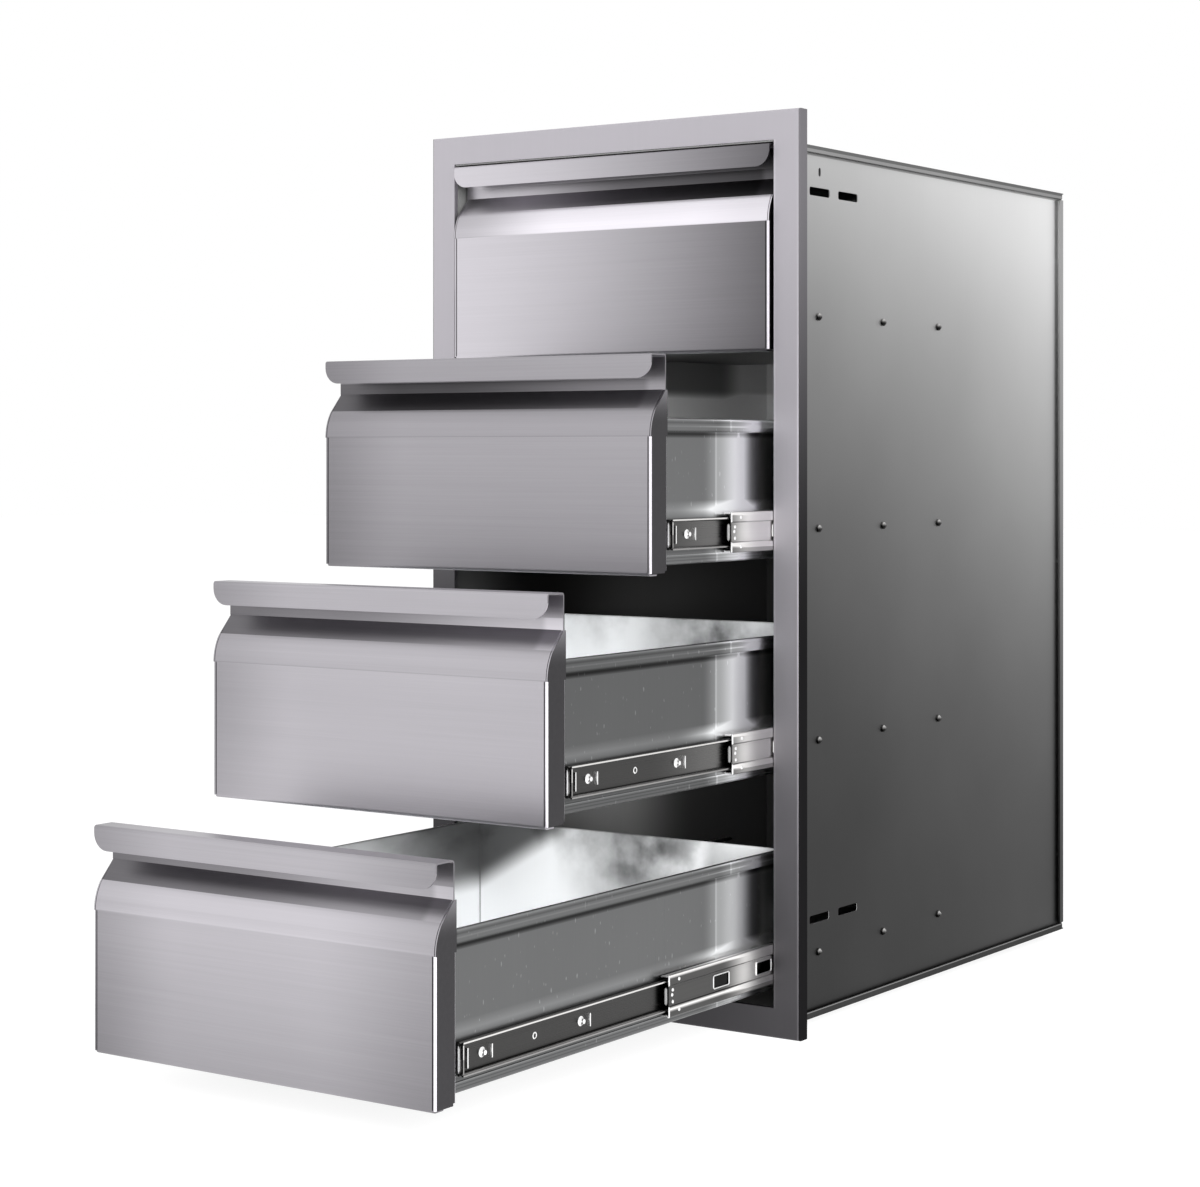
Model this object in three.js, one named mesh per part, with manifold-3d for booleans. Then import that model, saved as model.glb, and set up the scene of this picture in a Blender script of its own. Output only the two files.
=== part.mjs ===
// An outdoor kitchen drawer unit: a face frame, a sheet steel box and four drawers on ball-bearing slides.
// Millimetres, +X to the right, +Y into the unit, +Z up. The plane Y = 0 is the wall that the frame lies on,
// and the origin is on the frame's rear lip, at the middle of the bottom rail.

import * as THREE from 'three';
import * as BufferGeometryUtils from 'three/addons/utils/BufferGeometryUtils.js';
import Module from 'manifold-3d';

const wasm = await Module();
wasm.setup();

// Face frame
const frame_width = 406;
const frame_height = 813;
const frame_depth = 12.7;
const frame_sheet = 1.2;
const frame_edge_radius = 1.6;
const stile_width = 26.5;
const rail_height = 26;
const rear_lip = 8;
const opening_return = 5;

// Cabinet box
const panel_sheet = 1;
const panel_inset = 2.9;
const box_depth = 583;
const seam_flange = 3.2;
const seam_fold = 4;
const back_seam_fold = 5.5;
const seam_hem = 1.2;
const weld_flange = 13;
const level_flange = 6.5;
const top_gap = 2.6;
const floor_drop = 17.2;
const back_flange = 10;

// Clearances
const seat_gap = 0.3;
const hole_clearance = 0.5;
const overrun = 2;
const merge_tolerance = 0.01;

// Drawer fronts
const drawer_count = 4;
const front_side_gap = 2.5;
const front_top_gap = 3;
const front_bottom_gap = 5.5;
const front_gap = 7.5;
const front_proud = 4;
const front_sheet = 1.2;
const front_pan_depth = 24.5;
const front_bend_radius = 2.6;
const front_return = 17;
const front_corner_cut = 4;
const lip_drop = 20;
const lip_depth = 22;
const lip_corner_radius = 14;
const lip_bend_radius = 1.6;
const back_plate_drop = 29.5;
const scoop_drop = 46;
const scoop_depth = 6.6;
const curve_drop = 68;
const curve_sheet_gap = 0.6;
const bottom_return = 12;
const front_screw_radius = 2;
const front_screw_head_radius = 4;
const front_screw_head_height = 1.6;
const front_screw_inset = 14;
const front_screw_height_shares = [0.17, 0.5];

// Drawer boxes
const drawer_sheet = 1;
const drawer_floor_height = 8;
const drawer_wall_drop = 52.5;
const drawer_length = 479;
const rim_fold = 10;
const rim_width = 2.7;
const pan_upturn = 8;

// Slides, a 45 mm ball-bearing pattern
const slide_thickness = 12.7;
const slide_length = 466;
const slide_setback = 5;
const slide_height = 33;
const slide_front_margin = 9.5;
const cabinet_member_height = 45;
const cabinet_member_sheet = 1.1;
const cabinet_member_depth = 9.6;
const cabinet_member_hook = 2;
const middle_member_length = 392;
const middle_member_height = 35;
const middle_member_sheet = 1.1;
const middle_member_offset = 3.4;
const middle_member_depth = 8;
const middle_member_hook = 1.2;
const drawer_member_height = 25.5;
const drawer_member_sheet = 1.2;
const drawer_member_depth = 6.2;
const race_depth = 0.9;
const race_lip = 1.2;
const slide_bend_radius = 0.9;
const window_length = 25;
const window_height = 11;
const window_start = 69;
const window_pitch = 70;
const slide_screw_radius = 2;
const slide_screw_head_height = 1.6;
const cabinet_screw_places = [46, 167, 279];
const cabinet_screw_head_radius = 3.4;
const cabinet_screw_head_edge = 1.4;
const cabinet_screw_crown_radius = 1.8;
const cabinet_screw_crown_height = 1.5;
const drawer_screw_places = [29, 158, 410];
const drawer_hole_place = 96;
const drawer_hole_radius = 2.4;
const drawer_screw_head_radius = 3.6;
const end_tab_width = 4.6;

// Ball cages
const outer_ball_radius = 1.9;
const outer_ball_depth = 6.7;
const inner_ball_radius = 1.5;
const inner_ball_depth = 9;
const cage_sheet = 0.6;
const outer_cage_offset = 1.9;
const outer_cage_depth = 6.2;
const outer_cage_length = 110;
const outer_cage_start = 123;
const inner_cage_offset = 5.1;
const inner_cage_depth = 4.6;
const inner_cage_length = 100;
const inner_cage_start = 125;
const balls_per_row = 2;
const ball_margin_share = 0.08;

// Openings cut in the side panels
const slot_length = 36;
const slot_height = 7.5;
const slot_corner_radius = 2;
const slot_places = [74, 126];
const slot_drop = 40;
const slot_rise = 86;
const key_hole_place = 74;
const key_hole_drop = 22;
const key_hole_width = 4;
const key_hole_height = 8;
const seam_hole_radius = 1.1;
const seam_notch_places = [55, 290, 528];
const seam_notch_height_shares = [0.1, 0.5, 0.91];

// How far each drawer stands open, and where its floating middle members lie when it is shut
const drawer_pulls = [0, 187, 332, 471];
const middle_member_offsets = [0, 0, 74, 44];
const middle_share = 0.5;

// Places that follow from the sizes above
const frame_bottom = -rear_lip / 2;
const frame_front = -frame_depth;
const opening_bottom = frame_bottom + rail_height;
const opening_top = frame_bottom + frame_height - rail_height;
const half_opening = frame_width / 2 - stile_width;
const side_inner = half_opening + panel_inset;
const side_outer = side_inner + panel_sheet;
const seam_edge = side_outer + seam_flange;
const weld_front = frame_front + frame_sheet + seat_gap;
const box_back = frame_front + box_depth;
const box_top = opening_top - front_top_gap + top_gap;
const box_floor = opening_bottom - floor_drop;
const side_top = box_top - panel_sheet - seat_gap;
const side_bottom = box_floor + panel_sheet + seat_gap;
const half_front = half_opening - front_side_gap;
const front_width = half_front * 2;
const front_space = opening_top - opening_bottom - front_top_gap - front_bottom_gap;
const front_pitch = (front_space + front_gap) / drawer_count;
const front_height = front_pitch - front_gap;
const drawer_wall_height = front_height - drawer_wall_drop - drawer_floor_height;
const front_shut = frame_front - front_proud;
const drawer_half = side_inner - slide_thickness;
const drawer_box_start = front_pan_depth + seat_gap;
const drawer_box_end = drawer_box_start + drawer_length;
const slide_start = front_shut + front_pan_depth + slide_setback;
const drawer_member_start = front_pan_depth + slide_front_margin;
const round_steps = 4;
const bend_steps = 2;
const slot_steps = 2;
const hole_steps = 6;
const head_steps = 10;
const ball_sides = 6;
const ball_rings = 3;

// Materials

function steel(name, color, roughness, metalness = 0.9) {
  const material = new THREE.MeshStandardMaterial({ color, roughness, metalness });
  material.name = name;
  return material;
}

const frame_steel = steel('frame_steel', 0xa7a4a8, 0.38);
const front_steel = steel('front_steel', 0xa0a0a5, 0.34);
const panel_steel = steel('panel_steel', 0x9a9a9c, 0.45);
const drawer_steel = steel('drawer_steel', 0x8f9396, 0.25);
const slide_steel = steel('slide_steel', 0xb4b2ac, 0.3);
const cage_steel = steel('cage_steel', 0x55555a, 0.4);

// Geometry helpers

function extrude(shape, length, steps = round_steps) {
  return new THREE.ExtrudeGeometry(shape, { depth: length, bevelEnabled: false, curveSegments: steps });
}

function turned(geometry, x_axis, y_axis, z_axis, x, y, z) {
  const matrix = new THREE.Matrix4().makeBasis(x_axis, y_axis, z_axis);
  return geometry.applyMatrix4(matrix).translate(x, y, z);
}

const axis_x = new THREE.Vector3(1, 0, 0);
const axis_y = new THREE.Vector3(0, 1, 0);
const axis_z = new THREE.Vector3(0, 0, 1);

// A shape drawn in Y and Z, extruded along X
function alongX(shape, from, length, steps) {
  return turned(extrude(shape, length, steps), axis_y, axis_z, axis_x, from, 0, 0);
}

// A shape drawn in X and Z, extruded along Y
function alongY(shape, from, length, steps) {
  return turned(extrude(shape, length, steps), axis_x, axis_z, axis_y.clone().negate(), 0, from + length, 0);
}

// A shape drawn in X and Y, extruded along Z
function alongZ(shape, from, length, steps) {
  return extrude(shape, length, steps).translate(0, 0, from);
}

function block(x0, x1, y0, y1, z0, z1) {
  return new THREE.BoxGeometry(x1 - x0, y1 - y0, z1 - z0)
    .translate((x0 + x1) / 2, (y0 + y1) / 2, (z0 + z1) / 2);
}

// A round bar along X from x0 to x1
function rodX(radius, x0, x1, y, z, steps = hole_steps) {
  return new THREE.CylinderGeometry(radius, radius, Math.abs(x1 - x0), steps)
    .rotateZ(Math.PI / 2)
    .translate((x0 + x1) / 2, y, z);
}

// A round bar along Y from y0 to y1
function rodY(radius, y0, y1, x, z, steps = hole_steps) {
  return new THREE.CylinderGeometry(radius, radius, Math.abs(y1 - y0), steps)
    .translate(x, (y0 + y1) / 2, z);
}

// A round head along X that narrows from its base at x0 to its crown at x1
function crownX(base_radius, crown_radius, x0, x1, y, z, steps = head_steps) {
  return new THREE.CylinderGeometry(crown_radius, base_radius, x1 - x0, steps)
    .rotateZ(-Math.PI / 2)
    .translate((x0 + x1) / 2, y, z);
}

function outline(points) {
  return new THREE.Shape(points.map(([a, b]) => new THREE.Vector2(a, b)));
}

function rectangle(a0, a1, b0, b1) {
  return outline([[a0, b0], [a1, b0], [a1, b1], [a0, b1]]);
}

// A long round-ended slot, or an upright one
function slot(a, b, length, height) {
  const radius = Math.min(length, height) / 2;
  const reach_a = length / 2 - radius;
  const reach_b = height / 2 - radius;
  const turn = length > height ? 0 : Math.PI / 2;
  const shape = new THREE.Shape();
  shape.absarc(a + reach_a, b + reach_b, radius, turn - Math.PI / 2, turn + Math.PI / 2, false);
  shape.absarc(a - reach_a, b - reach_b, radius, turn + Math.PI / 2, turn + Math.PI * 3 / 2, false);
  return shape;
}

// A rectangle about (a, b) with round corners
function roundedRectangle(a, b, length, height, radius) {
  const shape = new THREE.Shape();
  [[1, -1, -1], [1, 1, 0], [-1, 1, 1], [-1, -1, 2]].forEach(([side, rise, quarter]) => {
    const centre_a = a + side * (length / 2 - radius);
    const centre_b = b + rise * (height / 2 - radius);
    const start = quarter * Math.PI / 2;
    shape.absarc(centre_a, centre_b, radius, start, start + Math.PI / 2, false);
  });
  return shape;
}

// The line through the points, with each corner between them rounded
function roundedPath(points, radius, steps = bend_steps) {
  const path = [points[0]];
  for (let i = 1; i < points.length - 1; i += 1) {
    const here = new THREE.Vector2(...points[i]);
    const back = new THREE.Vector2(...points[i - 1]).sub(here);
    const on = new THREE.Vector2(...points[i + 1]).sub(here);
    const angle = Math.acos(back.dot(on) / (back.length() * on.length()));
    const reach = radius / Math.tan(angle / 2);
    const from = here.clone().addScaledVector(back.normalize(), reach);
    const to = here.clone().addScaledVector(on.normalize(), reach);
    const inward = back.clone().add(on).normalize();
    const centre = here.clone().addScaledVector(inward, radius / Math.sin(angle / 2));
    const start = Math.atan2(from.y - centre.y, from.x - centre.x);
    let sweep = Math.atan2(to.y - centre.y, to.x - centre.x) - start;
    if (sweep > Math.PI) sweep -= Math.PI * 2;
    if (sweep < -Math.PI) sweep += Math.PI * 2;
    for (let k = 0; k <= steps; k += 1) {
      const at = start + sweep * k / steps;
      path.push([centre.x + radius * Math.cos(at), centre.y + radius * Math.sin(at)]);
    }
  }
  path.push(points[points.length - 1]);
  return path;
}

// A bent sheet seen from its end: the closed outline at half the thickness to each side of a line
function sheetSection(path, thickness) {
  const normals = path.slice(1).map(([a, b], i) => {
    const run = new THREE.Vector2(a - path[i][0], b - path[i][1]).normalize();
    return new THREE.Vector2(-run.y, run.x);
  });
  const sides = [1, -1].map((side) => path.map(([a, b], i) => {
    const before = normals[Math.max(i - 1, 0)];
    const after = normals[Math.min(i, normals.length - 1)];
    const both = before.clone().add(after).normalize();
    const reach = side * thickness / 2 / both.dot(after);
    return [a + both.x * reach, b + both.y * reach];
  }));
  return outline([...sides[0], ...sides[1].reverse()]);
}

function mirrored(geometry) {
  const copy = geometry.index ? geometry.toNonIndexed() : geometry.clone();
  const place = copy.attributes.position;
  for (let i = 0; i < place.count; i += 3) {
    const corners = [0, 1, 2].map((k) => new THREE.Vector3().fromBufferAttribute(place, i + k));
    [corners[0], corners[2], corners[1]].forEach((p, k) => place.setXYZ(i + k, -p.x, p.y, p.z));
  }
  return copy;
}

// Joining and cutting

function solid(geometry) {
  const plain = geometry.clone();
  plain.deleteAttribute('normal');
  plain.deleteAttribute('uv');
  const merged = BufferGeometryUtils.mergeVertices(plain);
  return new wasm.Manifold(new wasm.Mesh({
    numProp: 3,
    vertProperties: Float32Array.from(merged.attributes.position.array),
    triVerts: Uint32Array.from(merged.index.array),
  }));
}

function joined(geometries) {
  return geometries.map(solid).reduce((sum, next) => sum.add(next));
}

function cut(body, geometries) {
  return geometries.length ? body.subtract(joined(geometries)) : body;
}

function geometryOf(body) {
  const mesh = body.asOriginal().simplify(merge_tolerance).getMesh();
  const geometry = new THREE.BufferGeometry();
  geometry.setAttribute('position', new THREE.BufferAttribute(Float32Array.from(mesh.vertProperties), 3));
  geometry.setIndex(new THREE.BufferAttribute(Uint32Array.from(mesh.triVerts), 1));
  return geometry;
}

function node(name, geometry, material) {
  geometry.computeVertexNormals();
  const mesh = new THREE.Mesh(geometry, material);
  mesh.name = name;
  return mesh;
}

// Face frame: a folded picture frame with a return all round, a rear lip and a return at the opening

function ring(half_width, bottom, top, border) {
  const shape = rectangle(-half_width, half_width, bottom, top);
  shape.holes.push(rectangle(-half_width + border, half_width - border, bottom + border, top - border));
  return shape;
}

function faceFrame() {
  const half = frame_width / 2;
  const top = frame_bottom + frame_height;
  const face = rectangle(-half, half, frame_bottom, top);
  face.holes.push(rectangle(-half_opening, half_opening, opening_bottom, opening_top));
  const around = ring(half, frame_bottom, top, frame_sheet);
  const lip = ring(half, frame_bottom, top, rear_lip);
  const edge = half_opening + frame_sheet;
  const edge_back = frame_front + opening_return;
  const edge_floor = opening_bottom - frame_sheet;
  const body = joined([
    alongY(face, frame_front, frame_sheet),
    alongY(around, frame_front, frame_depth),
    alongY(lip, -frame_sheet, frame_sheet),
    block(half_opening, edge, frame_front, edge_back, edge_floor, opening_top),
    block(-edge, -half_opening, frame_front, edge_back, edge_floor, opening_top),
    block(-edge, edge, frame_front, edge_back, edge_floor, opening_bottom),
  ]);
  const radius = frame_edge_radius;
  const inner = rectangle(-half + radius, half - radius, frame_bottom + radius, top - radius);
  const reach = frame_depth * 2;
  const rounded = new THREE.ExtrudeGeometry(inner, {
    depth: reach,
    bevelEnabled: true,
    bevelThickness: radius,
    bevelSize: radius,
    bevelSegments: bend_steps,
  });
  const envelope = turned(
    rounded, axis_x, axis_z, axis_y.clone().negate(), 0, frame_front + radius + reach, 0,
  );
  return node('face_frame', geometryOf(body.intersect(solid(envelope))), frame_steel);
}

// Cabinet box: two side panels with flanges turned outward, and top, bottom and back seamed over them

function screwRow(places) {
  return places.map((place) => slide_start + place);
}

function drawerFloorOf(index) {
  return opening_top - front_top_gap - front_height - front_pitch * index;
}

function sidePanelGeometry() {
  const plate = rectangle(weld_front, box_back, side_bottom, side_top);
  const holes = [];
  for (let index = 0; index < drawer_count; index += 1) {
    const z = drawerFloorOf(index) + slide_height;
    screwRow(cabinet_screw_places).forEach((y) => {
      holes.push(rodX(slide_screw_radius + hole_clearance, side_inner - overrun, side_outer + overrun, y, z));
    });
  }
  slot_places.forEach((place) => {
    const y = frame_front + place;
    const width = panel_sheet + overrun * 2;
    [box_top - slot_drop, box_floor + slot_rise].forEach((z) => {
      const shape = roundedRectangle(y, z, slot_length, slot_height, slot_corner_radius);
      holes.push(alongX(shape, side_inner - overrun, width, slot_steps));
    });
  });
  const key = slot(frame_front + key_hole_place, box_top - key_hole_drop, key_hole_width, key_hole_height);
  holes.push(alongX(key, side_inner - overrun, panel_sheet + overrun * 2, slot_steps));
  const middle = (side_outer + seam_edge) / 2;
  seam_notch_places.forEach((place) => {
    const y = frame_front + place;
    [side_top, side_bottom].forEach((z) => {
      const height = panel_sheet + overrun * 2;
      const hole = new THREE.CylinderGeometry(seam_hole_radius, seam_hole_radius, height, hole_steps);
      holes.push(hole.rotateX(Math.PI / 2).translate(middle, y, z));
    });
  });
  seam_notch_height_shares.forEach((share) => {
    const z = side_bottom + (side_top - side_bottom) * share;
    holes.push(rodY(seam_hole_radius, box_back - panel_sheet - overrun, box_back + overrun, middle, z));
  });
  const body = joined([
    alongX(plate, side_inner, panel_sheet),
    block(side_inner, seam_edge, 0, box_back, side_top - panel_sheet, side_top),
    block(side_inner, seam_edge, 0, box_back, side_bottom, side_bottom + panel_sheet),
    block(side_inner, seam_edge, box_back - panel_sheet, box_back, side_bottom, side_top),
    block(side_inner, side_outer + weld_flange, weld_front, weld_front + panel_sheet, side_bottom, side_top),
  ]);
  return geometryOf(cut(body, holes));
}

// The line of a top or bottom panel seen from the front, folded over the side panels' flanges
function seamedSection(level, direction) {
  const edge = seam_edge + seat_gap + panel_sheet / 2;
  const line = level + direction * panel_sheet / 2;
  const fold = line - direction * (seam_fold + panel_sheet);
  return sheetSection([
    [-edge + seam_hem, fold], [-edge, fold], [-edge, line],
    [edge, line], [edge, fold], [edge - seam_hem, fold],
  ], panel_sheet);
}

function levelPanel(name, level, direction) {
  const section = seamedSection(level, direction);
  const outer = level + direction * panel_sheet;
  const sheet_low = Math.min(level, outer);
  const sheet_high = Math.max(level, outer);
  const flange_low = Math.min(level, level + direction * level_flange);
  const flange_high = Math.max(level, level + direction * level_flange);
  const half = half_opening - seat_gap;
  const middle = (side_outer + seam_edge) / 2;
  const holes = [];
  seam_notch_places.forEach((place) => {
    [-1, 1].forEach((side) => {
      const hole = new THREE.CylinderGeometry(
        seam_hole_radius, seam_hole_radius, seam_fold * 2 + overrun, hole_steps,
      );
      holes.push(hole.rotateX(Math.PI / 2).translate(side * middle, frame_front + place, level));
    });
  });
  const seam_end = box_back - panel_sheet - seat_gap;
  const rear = box_back + seat_gap + panel_sheet;
  const wide = seam_edge + seat_gap + panel_sheet;
  const sheet = joined([
    alongY(section, 0, seam_end),
    block(-wide, wide, seam_end, rear, sheet_low, sheet_high),
    block(-half, half, weld_front, panel_sheet, sheet_low, sheet_high),
    block(-half, half, weld_front, weld_front + panel_sheet, flange_low, flange_high),
  ]);
  return node(name, geometryOf(cut(sheet, holes)), panel_steel);
}

function backPanel() {
  const edge = seam_edge + seat_gap + panel_sheet / 2;
  const line = box_back + seat_gap + panel_sheet / 2;
  const fold = line - back_seam_fold - panel_sheet;
  const section = sheetSection([
    [-edge + seam_hem, fold], [-edge, fold], [-edge, line],
    [edge, line], [edge, fold], [edge - seam_hem, fold],
  ], panel_sheet);
  const inset = seam_fold + panel_sheet * 2;
  const low = side_bottom + inset;
  const high = side_top - inset;
  const half = side_inner - seat_gap * 2;
  const bottom = side_bottom;
  const top = side_top;
  const rear = line + panel_sheet / 2;
  const middle = (side_outer + seam_edge) / 2;
  const holes = [];
  seam_notch_height_shares.forEach((share) => {
    const z = side_bottom + (side_top - side_bottom) * share;
    [-1, 1].forEach((side) => {
      holes.push(rodY(seam_hole_radius, fold - overrun, rear + overrun, side * middle, z));
    });
  });
  const body = joined([
    alongZ(section, low, high - low),
    block(-half, half, rear - panel_sheet, rear, bottom, top),
    block(-half, half, rear - back_flange, rear, top - panel_sheet, top),
    block(-half, half, rear - back_flange, rear, bottom, bottom + panel_sheet),
  ]);
  return node('back_panel', geometryOf(cut(body, holes)), panel_steel);
}

// Drawer fronts, bent from one sheet: a pull lip, a scoop behind it, a curve and a flat pan

function curvePoints() {
  const rise = curve_drop - scoop_drop;
  const radius = (scoop_depth ** 2 + rise ** 2) / (2 * scoop_depth);
  const reach = Math.asin(rise / radius);
  const steps = round_steps + bend_steps;
  return Array.from({ length: steps + 1 }, (_, i) => {
    const angle = reach * (1 - i / steps);
    return [radius * (1 - Math.cos(angle)), front_height - curve_drop + radius * Math.sin(angle)];
  });
}

function drawerFront(name) {
  const half = half_front;
  const sheet = front_sheet;
  const pan_top = front_height - curve_drop;
  const plate_bottom = front_height - back_plate_drop;
  const lip = new THREE.Shape();
  const lip_corner = front_height - lip_drop + lip_corner_radius;
  const lip_top = front_height - lip_bend_radius - sheet;
  const low = Math.PI * 3 / 2;
  lip.moveTo(-half, lip_top);
  lip.absarc(-half + lip_corner_radius, lip_corner, lip_corner_radius, Math.PI, low, false);
  lip.absarc(half - lip_corner_radius, lip_corner, lip_corner_radius, low, 0, false);
  lip.lineTo(half, lip_top);
  const cap = roundedPath([
    [sheet / 2, lip_top - overrun],
    [sheet / 2, front_height - sheet / 2],
    [lip_depth - sheet / 2, front_height - sheet / 2],
    [lip_depth - sheet / 2, plate_bottom],
  ], lip_bend_radius);
  const curve = curvePoints().map(([y, z]) => [y + sheet / 2, z]);
  const scoop_back = lip_depth - sheet / 2;
  const scoop = [[scoop_back, plate_bottom + sheet], [scoop_back, plate_bottom], ...curve];
  scoop.push([sheet / 2, pan_top - overrun]);
  const pan = roundedPath([
    [half - front_return, front_pan_depth - sheet / 2],
    [half - sheet / 2, front_pan_depth - sheet / 2],
    [half - sheet / 2, sheet / 2],
    [0, sheet / 2],
  ], front_bend_radius - sheet / 2);
  const whole_pan = [...pan, ...pan.slice(0, -1).reverse().map(([x, y]) => [-x, y])];
  const cheek = outline([
    [0, pan_top - overrun],
    ...curvePoints().reverse(),
    [lip_depth - sheet / 2, plate_bottom + sheet],
    [front_pan_depth, plate_bottom + sheet],
    [front_pan_depth, pan_top - overrun],
  ]);
  const chamfer = outline([
    [front_pan_depth - front_corner_cut - overrun, -overrun],
    [front_pan_depth + overrun, -overrun],
    [front_pan_depth + overrun, front_corner_cut + overrun],
  ]);
  const scoop_half = half - sheet - curve_sheet_gap;
  const bottom_half = half - front_bend_radius - sheet;
  const screws = [];
  [-1, 1].forEach((side) => front_screw_height_shares.forEach((share) => {
    const x = side * (half - front_screw_inset);
    const z = front_height * share;
    const wall = drawer_box_start + drawer_sheet + seat_gap;
    screws.push(rodY(front_screw_radius, front_pan_depth - sheet / 2, wall + sheet / 2, x, z));
    screws.push(rodY(front_screw_head_radius, wall, wall + front_screw_head_height, x, z, head_steps));
  }));
  const body = joined([
    alongY(lip, 0, sheet, round_steps - 1),
    alongX(sheetSection(cap, sheet), -half, front_width),
    alongX(sheetSection(scoop, sheet), -scoop_half, scoop_half * 2),
    alongZ(sheetSection(whole_pan, sheet), 0, pan_top - overrun / 2),
    block(-bottom_half, bottom_half, sheet / 2, bottom_return, 0, sheet),
    alongX(cheek, half - sheet, sheet),
    alongX(cheek, -half, sheet),
    ...screws,
  ]);
  const trimmed = cut(body, [alongX(chamfer, -half - overrun, front_width + overrun * 2)]);
  return node(name, geometryOf(trimmed), front_steel);
}

// Drawer boxes: a floor pan turned up outside the walls, with the side and back walls folded over at the rim

function rimSection() {
  const half = drawer_half;
  const top = drawer_floor_height + drawer_wall_height - drawer_sheet / 2;
  const inner = half - drawer_sheet / 2;
  const outer = inner + rim_width;
  return [[inner, drawer_floor_height], [inner, top], [outer, top], [outer, top - rim_fold]];
}

function drawerBox(name) {
  const half = drawer_half;
  const sheet = drawer_sheet;
  const start = drawer_box_start;
  const end = drawer_box_end;
  const top = drawer_floor_height + drawer_wall_height;
  const side = sheetSection(rimSection(), sheet);
  const side_wall = alongY(side, start, drawer_length);
  const rear = end - rim_width - seat_gap;
  const back = rimSection().map(([x, z]) => [x - half + rear, z]);
  const holes = [];
  drawer_screw_places.forEach((place) => [-1, 1].forEach((hand) => {
    const y = drawer_member_start + place;
    const radius = slide_screw_radius + hole_clearance;
    const from = half - sheet - overrun;
    holes.push(rodX(radius, hand * from, hand * (half + overrun), y, slide_height));
  }));
  front_screw_height_shares.forEach((share) => [-1, 1].forEach((hand) => {
    const x = hand * (half_front - front_screw_inset);
    const z = front_height * share;
    holes.push(rodY(front_screw_radius + hole_clearance, start - overrun, start + sheet + overrun, x, z));
  }));
  const inside = half - sheet / 2;
  const outside = half + sheet;
  const pan_end = rear - sheet / 2;
  const floor = drawer_floor_height;
  const body = joined([
    side_wall,
    mirrored(side_wall),
    alongX(sheetSection(back, sheet), -inside, inside * 2),
    block(-inside, inside, start, start + sheet, floor, top - sheet / 2),
    block(-outside, outside, start, pan_end, floor, floor + sheet),
    block(inside, outside, start, pan_end, floor, floor + pan_upturn),
    block(-outside, -inside, start, pan_end, floor, floor + pan_upturn),
  ]);
  return node(name, geometryOf(cut(body, holes)), drawer_steel);
}

// Slides. Sections are drawn with the depth from the side panel's inner face, and the height from the middle.

function placedSection(path, thickness) {
  return sheetSection(path.map(([depth, z]) => [side_inner - depth, z]), thickness);
}

function bothWays(half_path) {
  return [...half_path.slice().reverse().map(([depth, z]) => [depth, -z]), ...half_path];
}

function cabinetMemberGeometry() {
  const sheet = cabinet_member_sheet;
  const web = seat_gap + sheet / 2;
  const high = cabinet_member_height / 2 - sheet / 2;
  const far = seat_gap + cabinet_member_depth - sheet / 2;
  const path = roundedPath(
    bothWays([[web, high], [far, high], [far, high - cabinet_member_hook]]), slide_bend_radius, 1,
  );
  const parts = [alongY(placedSection(path, sheet), 0, slide_length)];
  cabinet_screw_places.forEach((place) => {
    const head = side_outer + seat_gap;
    const edge = head + cabinet_screw_head_edge;
    const crown = edge + cabinet_screw_crown_height;
    const web_face = side_inner - seat_gap - sheet / 2;
    parts.push(rodX(slide_screw_radius, web_face, head + cabinet_screw_head_edge / 2, place, 0));
    parts.push(rodX(cabinet_screw_head_radius, head, edge, place, 0, head_steps));
    parts.push(crownX(cabinet_screw_head_radius, cabinet_screw_crown_radius, edge, crown, place, 0));
  });
  return geometryOf(joined(parts));
}

function middleMemberGeometry() {
  const sheet = middle_member_sheet;
  const web = middle_member_offset + sheet / 2;
  const high = middle_member_height / 2 - sheet / 2;
  const far = middle_member_offset + middle_member_depth - sheet / 2;
  const race = high - race_depth;
  const path = bothWays([
    [web, high],
    [web + race_lip, high],
    [web + race_lip + race_depth, race],
    [far, race],
    [far, race - middle_member_hook],
  ]);
  const windows = [];
  for (let y = window_start; y + window_length < middle_member_length - window_start; y += window_pitch) {
    const face = side_inner - middle_member_offset;
    windows.push(block(
      face - sheet - overrun / 2, face + overrun, y, y + window_length, -window_height / 2, window_height / 2,
    ));
  }
  return geometryOf(cut(solid(alongY(placedSection(path, sheet), 0, middle_member_length)), windows));
}

function drawerMemberGeometry() {
  const sheet = drawer_member_sheet;
  const web = slide_thickness - seat_gap - sheet / 2;
  const high = drawer_member_height / 2 - sheet / 2;
  const race = high - race_depth;
  const near = slide_thickness - seat_gap - drawer_member_depth;
  const path = bothWays([
    [web, high],
    [web - race_lip, high],
    [web - race_lip - race_depth, race],
    [near + race_lip + race_depth, race],
    [near + race_lip, high],
    [near, high],
  ]);
  const parts = [alongY(placedSection(path, sheet), 0, slide_length)];
  const web_face = side_inner - web + sheet / 2;
  drawer_screw_places.forEach((place) => {
    const inside = drawer_half - drawer_sheet;
    parts.push(rodX(slide_screw_radius, inside, web_face, place, 0));
    const head_end = web_face + slide_screw_head_height;
    parts.push(rodX(drawer_screw_head_radius, web_face - sheet / 2, head_end, place, 0, head_steps));
  });
  parts.push(block(
    web_face - sheet / 2, web_face + end_tab_width, 0, sheet, -high + sheet, high - sheet,
  ));
  const hole = rodX(
    drawer_hole_radius, web_face - sheet - overrun / 2, web_face + overrun, drawer_hole_place, 0,
  );
  return geometryOf(cut(joined(parts), [hole]));
}

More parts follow.
